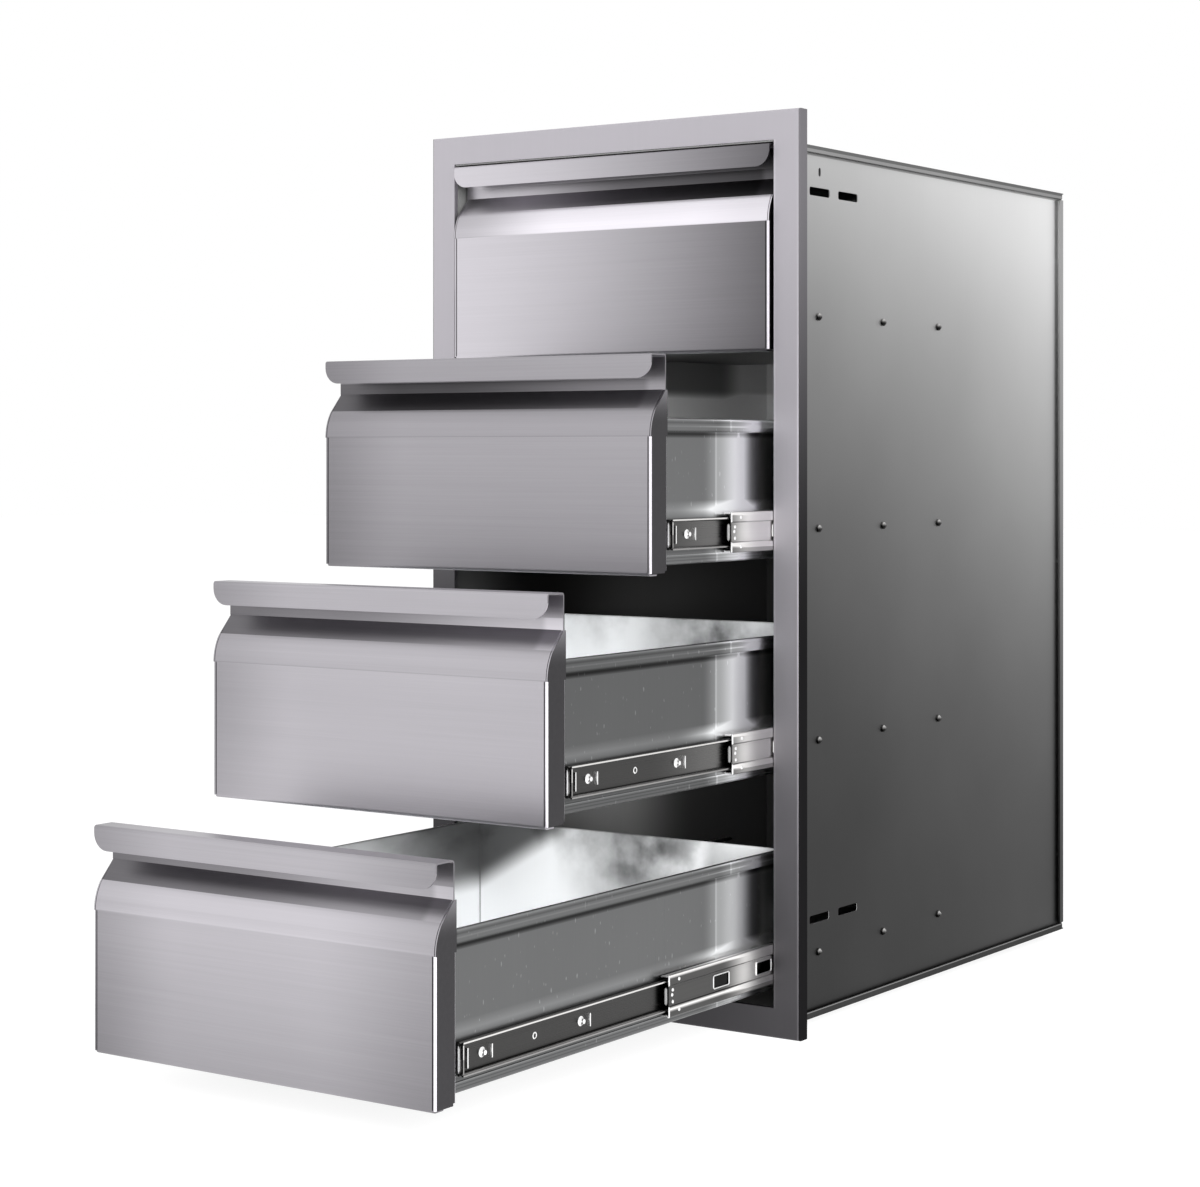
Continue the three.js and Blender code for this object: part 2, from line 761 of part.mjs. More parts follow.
// Ball cages: a folded strip with a row of balls in each leg
function cageGeometry(offset, depth, leg, length, ball_depth, ball_radius) {
  const web = offset + cage_sheet / 2;
  const far = offset + depth;
  const path = bothWays([[web, leg], [far, leg]]);
  const parts = [alongY(placedSection(path, cage_sheet), 0, length)];
  const margin = length * ball_margin_share;
  for (let i = 0; i < balls_per_row; i += 1) {
    const y = margin + (length - margin * 2) * i / (balls_per_row - 1);
    [-leg, leg].forEach((z) => {
      const ball = new THREE.SphereGeometry(ball_radius, ball_sides, ball_rings);
      parts.push(ball.rotateX(Math.PI / 2).translate(side_inner - ball_depth, y, z));
    });
  }
  return geometryOf(joined(parts));
}

function outerCageGeometry() {
  const race = middle_member_height / 2 - race_depth;
  const roof = cabinet_member_height / 2 - cabinet_member_sheet;
  const leg = (race + roof) / 2;
  return cageGeometry(
    outer_cage_offset, outer_cage_depth, leg, outer_cage_length, outer_ball_depth, outer_ball_radius,
  );
}

function innerCageGeometry() {
  const race = drawer_member_height / 2 - race_depth;
  const roof = middle_member_height / 2 - race_depth - middle_member_sheet;
  const leg = (race + roof) / 2;
  return cageGeometry(
    inner_cage_offset, inner_cage_depth, leg, inner_cage_length, inner_ball_depth, inner_ball_radius,
  );
}

// Assembly

const unit = new THREE.Group();

function addPair(name, geometry, material, y, z) {
  const right = node(`${name}_right`, geometry.clone(), material);
  const left = node(`${name}_left`, mirrored(geometry), material);
  [right, left].forEach((mesh) => {
    mesh.position.set(0, y, z);
    unit.add(mesh);
  });
}

unit.add(faceFrame());
addPair('side_panel', sidePanelGeometry(), panel_steel, 0, 0);
unit.add(levelPanel('top_panel', box_top - panel_sheet, 1));
unit.add(levelPanel('bottom_panel', box_floor + panel_sheet, -1));
unit.add(backPanel());

const cabinet_member = cabinetMemberGeometry();
const middle_member = middleMemberGeometry();
const drawer_member = drawerMemberGeometry();
const outer_cage = outerCageGeometry();
const inner_cage = innerCageGeometry();

drawer_pulls.forEach((pull, index) => {
  const number = index + 1;
  const floor = drawerFloorOf(index);
  const face = front_shut - pull;
  const slide = floor + slide_height;
  const middle_start = slide_start + middle_member_offsets[index];
  const front = drawerFront(`drawer_front_${number}`);
  const box = drawerBox(`drawer_box_${number}`);
  [front, box].forEach((mesh) => {
    mesh.position.set(0, face, floor);
    unit.add(mesh);
  });
  addPair(`drawer_member_${number}`, drawer_member, slide_steel, face + drawer_member_start, slide);
  addPair(`middle_member_${number}`, middle_member, slide_steel, middle_start - pull * middle_share, slide);
  addPair(`cabinet_member_${number}`, cabinet_member, slide_steel, slide_start, slide);
  const outer_start = slide_start + outer_cage_start - pull * middle_share / 2;
  addPair(`outer_ball_cage_${number}`, outer_cage, cage_steel, outer_start, slide);
  const inner_start = middle_start + inner_cage_start - pull * (1 + middle_share) / 2;
  addPair(`inner_ball_cage_${number}`, inner_cage, cage_steel, inner_start, slide);
});

export default unit;
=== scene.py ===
# %% [markdown]
# # An outdoor kitchen drawer unit in brushed stainless steel
#
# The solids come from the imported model, in metres, with +X to the right, +Y into the unit and +Z up. The wall
# plane is Y = 0. This notebook gives them their steel, rebuilds the fronts, the drawer boxes and the slides'
# visible members as smooth bent sheet, adds their small fittings, and sets the camera and the light.
# Everything is measured in metres.

# %% Load the frame
import math

import bmesh
import bpy
import numpy as np
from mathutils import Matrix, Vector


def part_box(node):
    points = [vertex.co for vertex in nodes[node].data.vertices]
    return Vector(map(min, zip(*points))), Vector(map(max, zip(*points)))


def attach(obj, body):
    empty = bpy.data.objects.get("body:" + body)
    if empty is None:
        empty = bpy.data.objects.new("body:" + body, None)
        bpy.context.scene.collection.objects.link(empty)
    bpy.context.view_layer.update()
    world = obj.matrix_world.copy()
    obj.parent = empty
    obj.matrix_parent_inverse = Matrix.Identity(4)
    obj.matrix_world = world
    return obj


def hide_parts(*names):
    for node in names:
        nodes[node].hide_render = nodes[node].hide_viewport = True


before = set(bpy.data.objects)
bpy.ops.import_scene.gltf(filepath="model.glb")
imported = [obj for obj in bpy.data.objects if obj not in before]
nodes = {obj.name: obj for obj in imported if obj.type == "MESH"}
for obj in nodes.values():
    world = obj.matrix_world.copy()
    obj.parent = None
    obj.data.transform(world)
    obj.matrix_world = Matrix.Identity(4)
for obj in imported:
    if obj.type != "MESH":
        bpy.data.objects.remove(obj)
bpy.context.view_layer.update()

# %% [markdown]
# ## The camera
#
# The photograph was taken with a long lens from the front right, at the height of the second drawer. A level
# camera with a shifted lens keeps the upright edges upright, as they are in the photograph, where tilting the
# camera would make them lean.

# %% Camera
IMAGE_SIZE = (1200, 1187)
FOCAL_PIXELS = 2611.5
HORIZON_ROW = 451.9
CAMERA_PLACE = (1.3482, -1.9835, 0.5093)
CAMERA_YAW = 0.6028
SENSOR_MM = 36

camera_data = bpy.data.cameras.new("camera")
camera = bpy.data.objects.new("camera", camera_data)
bpy.context.scene.collection.objects.link(camera)
bpy.context.scene.camera = camera
camera.location = CAMERA_PLACE
camera.rotation_euler = (math.pi / 2, 0, CAMERA_YAW)
camera_data.sensor_width = SENSOR_MM
camera_data.lens = FOCAL_PIXELS / IMAGE_SIZE[0] * SENSOR_MM
camera_data.shift_y = (HORIZON_ROW - IMAGE_SIZE[1] / 2) / IMAGE_SIZE[0]
print("lens", round(camera_data.lens, 1), "mm, shift", round(camera_data.shift_y, 3))

# %% [markdown]
# ## A plain pale studio
#
# Polished steel shows its surroundings more than its own colour, so the room matters as much as the metal. A
# white world would be enough for the background. The lamps are large and soft: a weak one in front on the
# left for the fronts, a broad one above, and a stronger one beside the camera that fills the open drawers.
# That last one is hidden from reflections: a drawer's side and the frame make a corner, which would throw it
# back as a glare.

# %% World and floor
bpy.context.scene.view_settings.view_transform = "Standard"
FLOOR_LEVEL = -0.0045
FLOOR_HALF = 14.0
SQUARE = ((-1, -1), (1, -1), (1, 1), (-1, 1))
FLOOR_TONE = (0.86, 0.86, 0.86, 1)
ROOM_LEVEL = 0.75
WHITE = (1, 1, 1, 1)


def studio_world():
    """Plain white for the camera, for reflections and through glass, and less bright for all other light."""
    world = bpy.data.worlds.new("studio")
    bpy.context.scene.world = world
    world.use_nodes = True
    tree = world.node_tree
    tree.nodes.clear()
    path = tree.nodes.new("ShaderNodeLightPath")
    seen = tree.nodes.new("ShaderNodeMath")
    seen.operation = "MAXIMUM"
    shown = tree.nodes.new("ShaderNodeMath")
    shown.operation = "MAXIMUM"
    tree.links.new(path.outputs["Is Camera Ray"], seen.inputs[0])
    tree.links.new(path.outputs["Is Glossy Ray"], seen.inputs[1])
    tree.links.new(seen.outputs[0], shown.inputs[0])
    tree.links.new(path.outputs["Is Transmission Ray"], shown.inputs[1])
    room, white = (tree.nodes.new("ShaderNodeBackground") for _ in range(2))
    for background, strength in ((room, ROOM_LEVEL), (white, 1.0)):
        background.inputs["Color"].default_value = WHITE
        background.inputs["Strength"].default_value = strength
    mix = tree.nodes.new("ShaderNodeMixShader")
    tree.links.new(shown.outputs[0], mix.inputs[0])
    tree.links.new(room.outputs[0], mix.inputs[1])
    tree.links.new(white.outputs[0], mix.inputs[2])
    output = tree.nodes.new("ShaderNodeOutputWorld")
    tree.links.new(mix.outputs[0], output.inputs["Surface"])


studio_world()
floor_corners = [(x * FLOOR_HALF, y * FLOOR_HALF, FLOOR_LEVEL) for x, y in SQUARE]
floor_mesh = bpy.data.meshes.new("floor")
floor_mesh.from_pydata(floor_corners, [], [(0, 1, 2, 3)])
floor = bpy.data.objects.new("floor", floor_mesh)
bpy.context.scene.collection.objects.link(floor)
print("floor:", 2 * FLOOR_HALF, "m wide, at", FLOOR_LEVEL)

# %% Lamps
LAMPS = {
    "key": dict(place=(-1.9, -2.6, 1.5), aim=(0, -0.2, 0.4), size=1.8, power=2),
    "above": dict(place=(0.2, -0.5, 2.6), aim=(0, -0.2, 0.2), size=2.0, power=7),
    "fill": dict(place=(1.8, -2.0, 1.0), aim=(0, -0.1, 0.4), size=1.5, power=220),
}
HIDDEN_FROM_REFLECTIONS = ("fill",)


def look_at(place, aim):
    """The rotation that turns a lamp at place, which shines down its own -Z, towards aim."""
    away = np.subtract(place, aim)
    flat = math.hypot(away[0], away[1])
    return (math.atan2(flat, away[2]), 0, math.atan2(away[0], -away[1]))


for name, lamp in LAMPS.items():
    light = bpy.data.lights.new(name, "AREA")
    light.size = lamp["size"]
    light.energy = lamp["power"]
    lamp_object = bpy.data.objects.new(name, light)
    lamp_object.location = lamp["place"]
    lamp_object.rotation_euler = look_at(lamp["place"], lamp["aim"])
    lamp_object.visible_glossy = name not in HIDDEN_FROM_REFLECTIONS
    bpy.context.scene.collection.objects.link(lamp_object)
print("lamps:", ", ".join(LAMPS))

# %% [markdown]
# ## Shader arithmetic
#
# A brushed finish is a sum of noises: fine grain, broader streaks and a slow change of tone. Written as node
# links that is hard to read, so a small class lets a number that varies over the surface be used with +, -, *
# and /, and each operator adds its Math node.

# %% The shader helpers
class Varying:
    """A number that changes over a surface. Arithmetic on it adds Math nodes to its finish."""

    def __init__(self, finish, socket):
        self.finish = finish
        self.socket = socket

    def math(self, operation, other=0.0, swapped=False, **settings):
        first, second = (other, self) if swapped else (self, other)
        settings = dict(operation=operation, **settings)
        return self.finish.node("ShaderNodeMath", settings, {0: first, 1: second})

    def __add__(self, other):
        return self.math("ADD", other)

    def __sub__(self, other):
        return self.math("SUBTRACT", other)

    def __rsub__(self, other):
        return self.math("SUBTRACT", other, swapped=True)

    def __mul__(self, other):
        return self.math("MULTIPLY", other)

    def __truediv__(self, other):
        return self.math("DIVIDE", other)

    def __lt__(self, other):
        return self.math("LESS_THAN", other)

    def __gt__(self, other):
        return self.math("GREATER_THAN", other)

    def size(self):
        return self.math("ABSOLUTE")

    def clamped(self):
        return self.math("ADD", use_clamp=True)

    def between(self, low, high):
        """1 between two values and 0 elsewhere."""
        return (self > low) * (self < high)

    def near(self, centre, reach):
        """1 at the centre, falling in a straight line to 0 at the reach to each side."""
        return (1 - (self - centre).size() / reach).clamped()

    def step(self, start, end):
        """0 before the start and 1 after the end, with a smooth rise between them."""
        settings = dict(interpolation_type="SMOOTHSTEP")
        return self.finish.node("ShaderNodeMapRange", settings, {0: self, 1: start, 2: end, 3: 0.0, 4: 1.0})

    __radd__ = __add__
    __rmul__ = __mul__


class Finish:
    """A material and the nodes that make it."""

    def __init__(self, name):
        self.material = bpy.data.materials.new(name)
        self.material.use_nodes = True
        self.tree = self.material.node_tree
        self.shader = self.tree.nodes["Principled BSDF"]
        self.place = self.node("ShaderNodeTexCoord", {}, {}, "Object")
        parts = self.node("ShaderNodeSeparateXYZ", {}, {0: self.place}, 0)
        self.x, self.y, self.z = (Varying(self, parts.socket.node.outputs[i]) for i in range(3))

    def node(self, kind, settings, inputs, output=0):
        """Adds one node, with its settings first and then its sockets' values or links."""
        made = self.tree.nodes.new(kind)
        for key, value in settings.items():
            setattr(made, key, value)
        for key, value in inputs.items():
            if isinstance(value, Varying):
                self.tree.links.new(value.socket, made.inputs[key])
            else:
                made.inputs[key].default_value = value
        return Varying(self, made.outputs[output])

    def noise(self, scale, detail=2.0, centre=(0.0, 0.0, 0.0)):
        """Noise between 0 and 1, with its own scale along X, Y and Z."""
        place = self.node("ShaderNodeMapping", {}, {"Vector": self.place, "Location": centre, "Scale": scale})
        return self.node("ShaderNodeTexNoise", {}, {"Vector": place, "Scale": 1.0, "Detail": detail}, "Fac")

    def blend(self, share, first, second):
        """The first colour where share is 0, and the second where it is 1."""
        settings = dict(data_type="RGBA", clamp_factor=True)
        return self.node("ShaderNodeMix", settings, {0: share, 6: first, 7: second}, 2)

    def bump(self, height, distance):
        inputs = {"Height": height, "Distance": distance, "Strength": 1.0}
        return self.node("ShaderNodeBump", {}, inputs, "Normal")

    def set(self, **sockets):
        """Links or sets sockets of the main shader, with _ for a space in their names."""
        for key, value in sockets.items():
            socket = self.shader.inputs[key.replace("_", " ")]
            if isinstance(value, Varying):
                self.tree.links.new(value.socket, socket)
            else:
                socket.default_value = value


# %% [markdown]
# ## Brushed and rolled steel
#
# Steel in a studio is never one grey: each sheet runs from light to dark as it turns from one part of the
# room to another. In a plain white room that play is lost, so each finish carries it as a level that changes
# with the place on the sheet, in the steps in which the eye sees greys. On top of that level lie the grain,
# which is a noise stretched along one axis, and a slow cloud. The grain also moves the roughness and a very
# shallow bump.
#
# In the functions that give a level, the numbers inside step(), near() and between() are places in metres.
# The numbers that these are multiplied by, and those that are added, are levels from 0 for black to 1 for
# white.

# %% One steel, many levels
LILAC = (1.0, 0.965, 1.03, 1)
COOL = (0.975, 0.99, 1.0, 1)
WARM = (1.0, 0.985, 0.97, 1)
NEUTRAL = (1.0, 1.0, 1.0, 1)
BLACK = (0, 0, 0, 1)
GAMMA = 2.2
GRAIN_FINE = 1500.0
GRAIN_BROAD = 260.0
GRAIN_LONG = 5.0
GRAIN_APART = (3.1, 1.7, 5.3)
GRAIN_BUMP = 0.00004
GRAIN_ROUGHNESS = 0.12
CLOUD_SCALE = (5.0, 5.0, 5.0)
X, Y, Z = range(3)


def grain(finish, along):
    """Streaks along one axis, 0 to 1: two stretched noises of different width, in shares of 0.6 and 0.4."""
    def stretched(across):
        return [GRAIN_LONG if axis == along else across for axis in (X, Y, Z)]
    broad = finish.noise(stretched(GRAIN_BROAD), centre=GRAIN_APART)
    return finish.noise(stretched(GRAIN_FINE)) * 0.6 + broad * 0.4


def evenly(value):
    """The same value everywhere, for use as a level or as a share of metal."""
    return lambda finish: value


def steel(name, level_of, tint, along, contrast, cloud, roughness=0.3, metallic_of=evenly(1.0)):
    """A finish whose grey is level_of(finish), plus grain and cloud, raised to the display's power of 2.2.

    The grain runs along one axis. metallic_of(finish) is the share of metal: the rest is matt, and keeps its
    grey in the open drawers and the cabinet, where metal would only reflect the dark.
    """
    finish = Finish(name)
    streaks = grain(finish, along)
    clouds = finish.noise(CLOUD_SCALE, detail=3.0)
    level = level_of(finish) + (streaks - 0.5) * contrast + (clouds - 0.5) * cloud
    finish.set(
        Base_Color=finish.blend(level.clamped().math("POWER", GAMMA), BLACK, tint),
        Metallic=metallic_of(finish),
        Roughness=streaks * GRAIN_ROUGHNESS + roughness,
        Normal=finish.bump(streaks, GRAIN_BUMP),
    )
    return finish


def mixed(share, first, second):
    """first where share is 0 and second where it is 1, for numbers."""
    return first + (second - first) * share


# %% Frame and panels
# Where one face gives way to the next: half-widths, depths behind the wall plane, and heights.
OPENING = (0.022, 0.783)
FRAME_SIDE, SEAM_SIDE = 0.2016, 0.1815
INNER_SIDE, INNER_BACK, INNER_HEIGHTS = 0.1799, 0.571, (-0.0003, 0.7875)
CABINET_DEPTH = 0.57


def frame_level(finish):
    """Light at the top and dark at the foot, sooner on the left stile, and darker on the outer edges.

    The open drawers stand in what the right stile reflects, so its level is raised beside them. Both of its
    bends catch some light, and the outer one most of it in its lower half.
    """
    right = finish.z.step(-0.06, 0.72) * 0.455 + 0.36 - finish.z.step(-0.02, 0.1) * 0.045
    left = finish.z.step(0.3, 0.62) * 0.47 + 0.31
    beside = finish.z.step(-0.03, 0.14) * (1 - finish.z.step(0.36, 0.68)) * finish.x.step(0.0, 0.17)
    face = mixed(finish.x.step(-0.17, 0.17), left, right) * (beside * 0.28 + 1)
    lower_half = (1 - finish.z.step(0.25, 0.85)) * (finish.z.step(-0.05, 0.25) * 0.12 + 0.12)
    inner_bend = finish.x.near(0.1775, 0.0012) * finish.z.between(*OPENING) * 0.07
    face = face + finish.x.near(0.2009, 0.0013) * lower_half + inner_bend
    side = finish.z.step(0.33, 0.78) * 0.38 + 0.17
    return mixed(finish.x.size() > FRAME_SIDE, face, side)


def within_cabinet(finish):
    """1 on the inner faces of the panels, and 0 on their outer faces and seams."""
    return (finish.x.size() < INNER_SIDE) * (finish.y < INNER_BACK) * finish.z.between(*INNER_HEIGHTS)


def panel_level(finish):
    """Outside: painted light and shade, from light at the top back to dark at the bottom front. Inside: dim, as
    painted shade. The seams have their own, with a painted shadow along the back fold.

    Inside, three places carry painted light: just behind the frame, low down in front, and level with the
    second rim.
    """
    height = (finish.z + 0.001).math("MAXIMUM", 0.0)
    front = height.math("POWER", 2.2) * 0.88 + 0.268
    back = finish.z.step(0.03, 0.82) * 0.57 + 0.36 + finish.z.step(0.58, 0.78) * 0.08
    along = (finish.y / CABINET_DEPTH).clamped().math("POWER", 1.2)
    outside = mixed(along, front, back) * (1 - (finish.z > 0.7745) * 0.2)
    by_frame = (1 - finish.y.step(0.0, 0.11)) * (finish.z > 0.22) * 0.18
    low = (1 - finish.z.step(0.15, 0.22)) * (1 - finish.y.step(0.28, 0.42)) * 0.38
    high = finish.z.step(0.5, 0.56) * (finish.y.step(0.47, 0.52) * 0.4 + 0.1)
    rim_high = (finish.z > 0.53) * (1 - finish.z.step(0.56, 0.578)) * 0.85
    inside = by_frame + low + high + rim_high + finish.y.step(0.1, 0.4) * 0.26 + 0.08
    # A painted shadow along the back seam, in its first millimetre beside the panel.
    fold_shadow = (finish.x.size() < 0.1826) * finish.y.between(0.55, 0.5646)
    seam = finish.z.step(0.0, 0.75) * 0.36 + 0.34 - fold_shadow * 0.3
    seam = mixed(finish.z < 0.0112, seam, (finish.z > 0.0099) * 0.3 + 0.28)
    seam = mixed(finish.z > 0.775, seam, 0.64 - (finish.z > 0.7795) * 0.17)
    level = mixed(within_cabinet(finish), outside, inside)
    return mixed(finish.x.size() > SEAM_SIDE, level, seam)


def cabinet_metal(finish):
    """All metal outside and none inside."""
    return mixed(within_cabinet(finish), 1.0, 0.0)


# %% Fronts
LOWEST_FLOOR, PITCH = 0.0275, 0.19
LOWEST_FACE, FACE_STEP, FACE_GROWTH = 0.4877, 0.136, 0.003
ROW_LIMITS = (0.592, 0.402, 0.212)
# Heights in the drawer at which the roll, the plate behind the lip and the lip start, and two half-widths.
ROLL_START, BEHIND_START, LIP_START = 0.1145, 0.138, 0.1624
BEND_START, FRONT_SIDE = 0.1719, 0.17385


def rows(finish):
    """Four masks, from the top drawer to the lowest: each is 1 on its own drawer and 0 on the others."""
    first, lowest = finish.z > ROW_LIMITS[0], finish.z < ROW_LIMITS[2]
    return first, (finish.z > ROW_LIMITS[1]) - first, (finish.z < ROW_LIMITS[1]) - lowest, lowest


def height_in_drawer(finish):
    """The height above a drawer's own floor: z less the lowest floor, wrapped at the pitch of the drawers."""
    return ((finish.z - LOWEST_FLOOR) / PITCH).math("FRACT") * PITCH


def depth_in_drawer(finish):
    """The depth behind a drawer's own face. As photographed, the faces' places are a quadratic in the row."""
    row = (finish.z - LOWEST_FLOOR - height_in_drawer(finish)) / PITCH
    return finish.y + LOWEST_FACE - row * FACE_STEP - row * row * FACE_GROWTH


def front_level(finish):
    """Each front has its own level: the shut one falls from left to right, and the open ones are even."""
    height = height_in_drawer(finish)
    shut, second, third, fourth = rows(finish)
    left = 1 - finish.x.step(-0.19, -0.08)
    low_right = finish.x.step(0.05, 0.2) * (1 - finish.z.step(0.2, 0.25))
    even = (finish.z - LOWEST_FLOOR - height) * -0.26 + 0.70 + height * 0.45 - left * 0.11 - low_right * 0.12
    even = even + third * ((0.09 - height).clamped() * 0.9 + 0.02)
    even = even - fourth * ((0.1 - height).clamped() * 0.5 + 0.04)
    falling = finish.x * -1.1 - finish.x * finish.x * 2.6 + 0.69
    face = mixed(shut, even, falling)
    shut_roll = finish.x.step(-0.17, -0.05) * 0.2 + 0.74 - finish.x.step(0.09, 0.17) * 0.05
    open_roll = even * 0.97 + left * 0.04 + fourth * 0.08
    # A thin line of painted shade at the crease where the roll meets the face.
    roll = mixed(shut, open_roll, shut_roll) - height.near(0.1148, 0.0007) * 0.06
    # The plate behind the lip gets painted shade.
    recess = finish.x.step(-0.06, 0.16) * 0.3 + 0.70 - second * finish.x.step(-0.17, -0.1) * 0.22
    shut_recess = mixed(finish.x.step(-0.12, 0.02), 0.94, 0.6)
    behind = face * mixed(shut, recess, shut_recess) + finish.x.step(0.152, 0.16) * 0.1
    level = mixed(height > ROLL_START, face, roll)
    level = mixed(height > BEHIND_START, level, behind)
    level = mixed(height > LIP_START, level, mixed(shut, even - 0.045, falling))
    # A painted highlight on the right side's bend, below the roll.
    level = mixed((finish.x > BEND_START) * (height < ROLL_START), level, 0.98)
    return mixed(finish.x.size() > FRONT_SIDE, level, height.step(0.125, 0.158) * 0.26 + 0.26)


# %% Drawers
# Half-widths at which the walls and their folds start, and heights in the drawer of its floor and its rim.
WALL_INNER, FOLD_OUTER, FLOOR_INNER = 0.1662, 0.1672, 0.0085
RIM_START, RIM_SHIFT = 0.1185, 0.02
MARK_SCALE, MARK_CENTRE = (60.0, 400.0, 160.0), (4.0, 9.0, 2.0)
BLOTCH_SCALE, BLOTCH_CENTRE = (22.0, 9.0, 22.0), (7.0, 2.0, 1.0)


def drawer_level(finish):
    """Outside: a mid grey with painted light bands and two painted light upright lines near the frame. Inside:
    nearly white, with painted dark reflections in broad and cloudy patches, and painted shade.

    Just above the slide the wall shows a painted reflection of the slide's bright edge, more so near the frame.
    A painted shadow lies under the rim and behind the front's flange, and the rim's and the tray's folds carry
    painted highlights and thin lines of painted shade. The top drawer, which stands shut, is plain.
    """
    height = height_in_drawer(finish)
    shut, _, third, fourth = rows(finish)
    y = finish.y - (height > RIM_START) * RIM_SHIFT
    ramp = y.step(-0.115, -0.09) * 0.16 + y.step(-0.0945, -0.0915) * 0.08
    band = ramp + y.step(-0.09, -0.055) * 0.34
    lines = y.near(-0.0925, 0.002) * 0.12 + y.near(-0.0555, 0.003) * 0.22
    at_frame = finish.y.step(-0.028, -0.012) * (1 - finish.y.step(0.02, 0.06)) * (1 - shut)
    near_frame = (band + lines) * (1 - y.step(-0.05, -0.03)) + at_frame * 0.4
    dark = height.near(0.1168, 0.0035) * 0.3 + (1 - depth_in_drawer(finish).step(0.028, 0.032)) * 0.3
    over_slide = height.near(0.053, 0.008) * (finish.y.step(-0.16, -0.06) * 0.6 + 0.1)
    wall = near_frame * (third * 0.2 + 1) + 0.44 - third * 0.06 - fourth * 0.03 - dark + over_slide
    wall = wall - height.near(0.0185, 0.0025) * 0.08
    marks = finish.noise(MARK_SCALE, detail=0.0, centre=MARK_CENTRE).step(0.76, 0.84) * 0.12
    # Painted highlights along the rim and the tray's upturn, stronger near the frame, and thin lines of painted
    # shade at the creases.
    fold_highlight = finish.y.step(-0.14, -0.06) * 0.4 + 0.12
    rim = (height.near(0.1288, 0.0012) + height.near(0.1232, 0.001) * 0.5) * fold_highlight
    tray = height.near(0.0155, 0.0009) * fold_highlight
    creases = height.near(0.0136, 0.0006) + height.near(0.0112, 0.0006)
    folds = rim - height.near(0.1262, 0.0014) * 0.08 + (tray - creases * 0.1)
    outside = wall + marks + (finish.x.size() > FOLD_OUTER) * folds
    blotches = finish.noise(BLOTCH_SCALE, detail=4.0, centre=BLOTCH_CENTRE)
    # Painted shade: a shadow over the upper left and back walls, shade on the right wall, and a dark line in
    # the back left corner.
    shaded = (height - (finish.x + 0.166) * 0.58).step(0.059, 0.086) * (1 - third)
    shade = shaded * (finish.y.step(-0.16, -0.03) * 0.38 + 0.25)
    shade = shade + finish.x.step(0.075, 0.1) * height.step(0.03, 0.07) * 0.33
    corner = finish.x.between(-0.1655, -0.1637) * (1 - shaded) * 0.3
    # Painted dark reflections: a broad one across the back wall, and cloudy ones that grow towards the rim.
    broad_dark_reflection = (finish.x + third * 0.042).near(0.012, 0.075) * height.step(0.03, 0.07) * (0.33 - third * 0.13)
    dark_reflection = finish.x.near(0.02, 0.1) * height.step(0.04, 0.12) * (blotches.step(0.3, 0.7) * 0.5 + 0.1)
    near_rim = (height - 0.085).clamped() * blotches.step(0.5, 0.75) * 3
    inside = 1.0 - mixed(shut, dark_reflection + broad_dark_reflection + near_rim + shade + corner, 0.12)
    return mixed(finish.x.size() < WALL_INNER, outside, mixed(height > FLOOR_INNER, 0.25, inside))


def drawer_metal(finish):
    """All metal outside and nearly matt inside."""
    return mixed((finish.x.size() < WALL_INNER) * (height_in_drawer(finish) > FLOOR_INNER), 1.0, 0.1)


# %% Slides
SLIDE_HEIGHT = 0.033
# Where the middle member starts to cover the drawer's: in the lowest row, and how far behind that elsewhere.
COVER_START, COVER_SHIFT = -0.1787, 0.0995


def channel_level(finish):
    """The drawer's and cabinet's members: a dark web, a painted highlight on each lip's edge, and screws
    painted as lit from above.

    The web carries painted shade, darkest behind the middle member, whose windows show it.
    """
    local = height_in_drawer(finish) - SLIDE_HEIGHT
    out = finish.x.size()
    heads = local.step(-0.0012, 0.0025) * 0.62 + 0.12
    lips = mixed(out > 0.1727, 0.5 - (local > 0.0) * 0.14, (local > 0.0) * 0.28 + 0.6)
    covered = finish.y > (finish.z > ROW_LIMITS[2]) * COVER_SHIFT + COVER_START
    web = mixed(covered, finish.y.step(-0.2, -0.09) * 0.16 + 0.26, 0.06)
    level = mixed(out.between(0.1675, 0.1688), lips, web)
    return mixed(out > 0.1801, level, heads)


def middle_level(finish):
    """The middle members: painted shade in front, cream painted light near the frame, painted highlights on the
    crests.
    """
    local = height_in_drawer(finish) - SLIDE_HEIGHT
    near_frame = finish.y.step(-0.1, -0.05)
    crests = local.near(0.0158, 0.0016) * 0.6 + local.near(-0.0106, 0.0024) * 0.75
    # Painted shade in the grooves and under the lower race near the frame, and painted light on the top.
    grooves = local.near(0.0088, 0.0007) + local.near(-0.0085, 0.0006)
    underside = (local < -0.0135) * near_frame * 0.25
    top = (local > 0.0162) * 0.45
    return mixed(near_frame, 0.31, 0.98) + crests + top - grooves * 0.25 - underside


# %% Finishes
# Each has a name, a level, a tint, the axis of its grain, and the contrast of its grain and its cloud. Some
# also have a roughness and a share of metal of their own.
frame_finish = steel("frame_steel", frame_level, LILAC, Z, 0.05, 0.02, 0.6)
front_finish = steel("front_steel", front_level, LILAC, X, 0.07, 0.03)
panel_finish = steel("panel_steel", panel_level, NEUTRAL, Z, 0.03, 0.06, 0.36, cabinet_metal)
drawer_finish = steel("drawer_steel", drawer_level, COOL, Z, 0.02, 0.04, 0.24, drawer_metal)
slide_finish = steel("slide_steel", channel_level, WARM, Y, 0.04, 0.04, 0.22)
middle_finish = steel("middle_steel", middle_level, WARM, Y, 0.06, 0.04, 0.24)
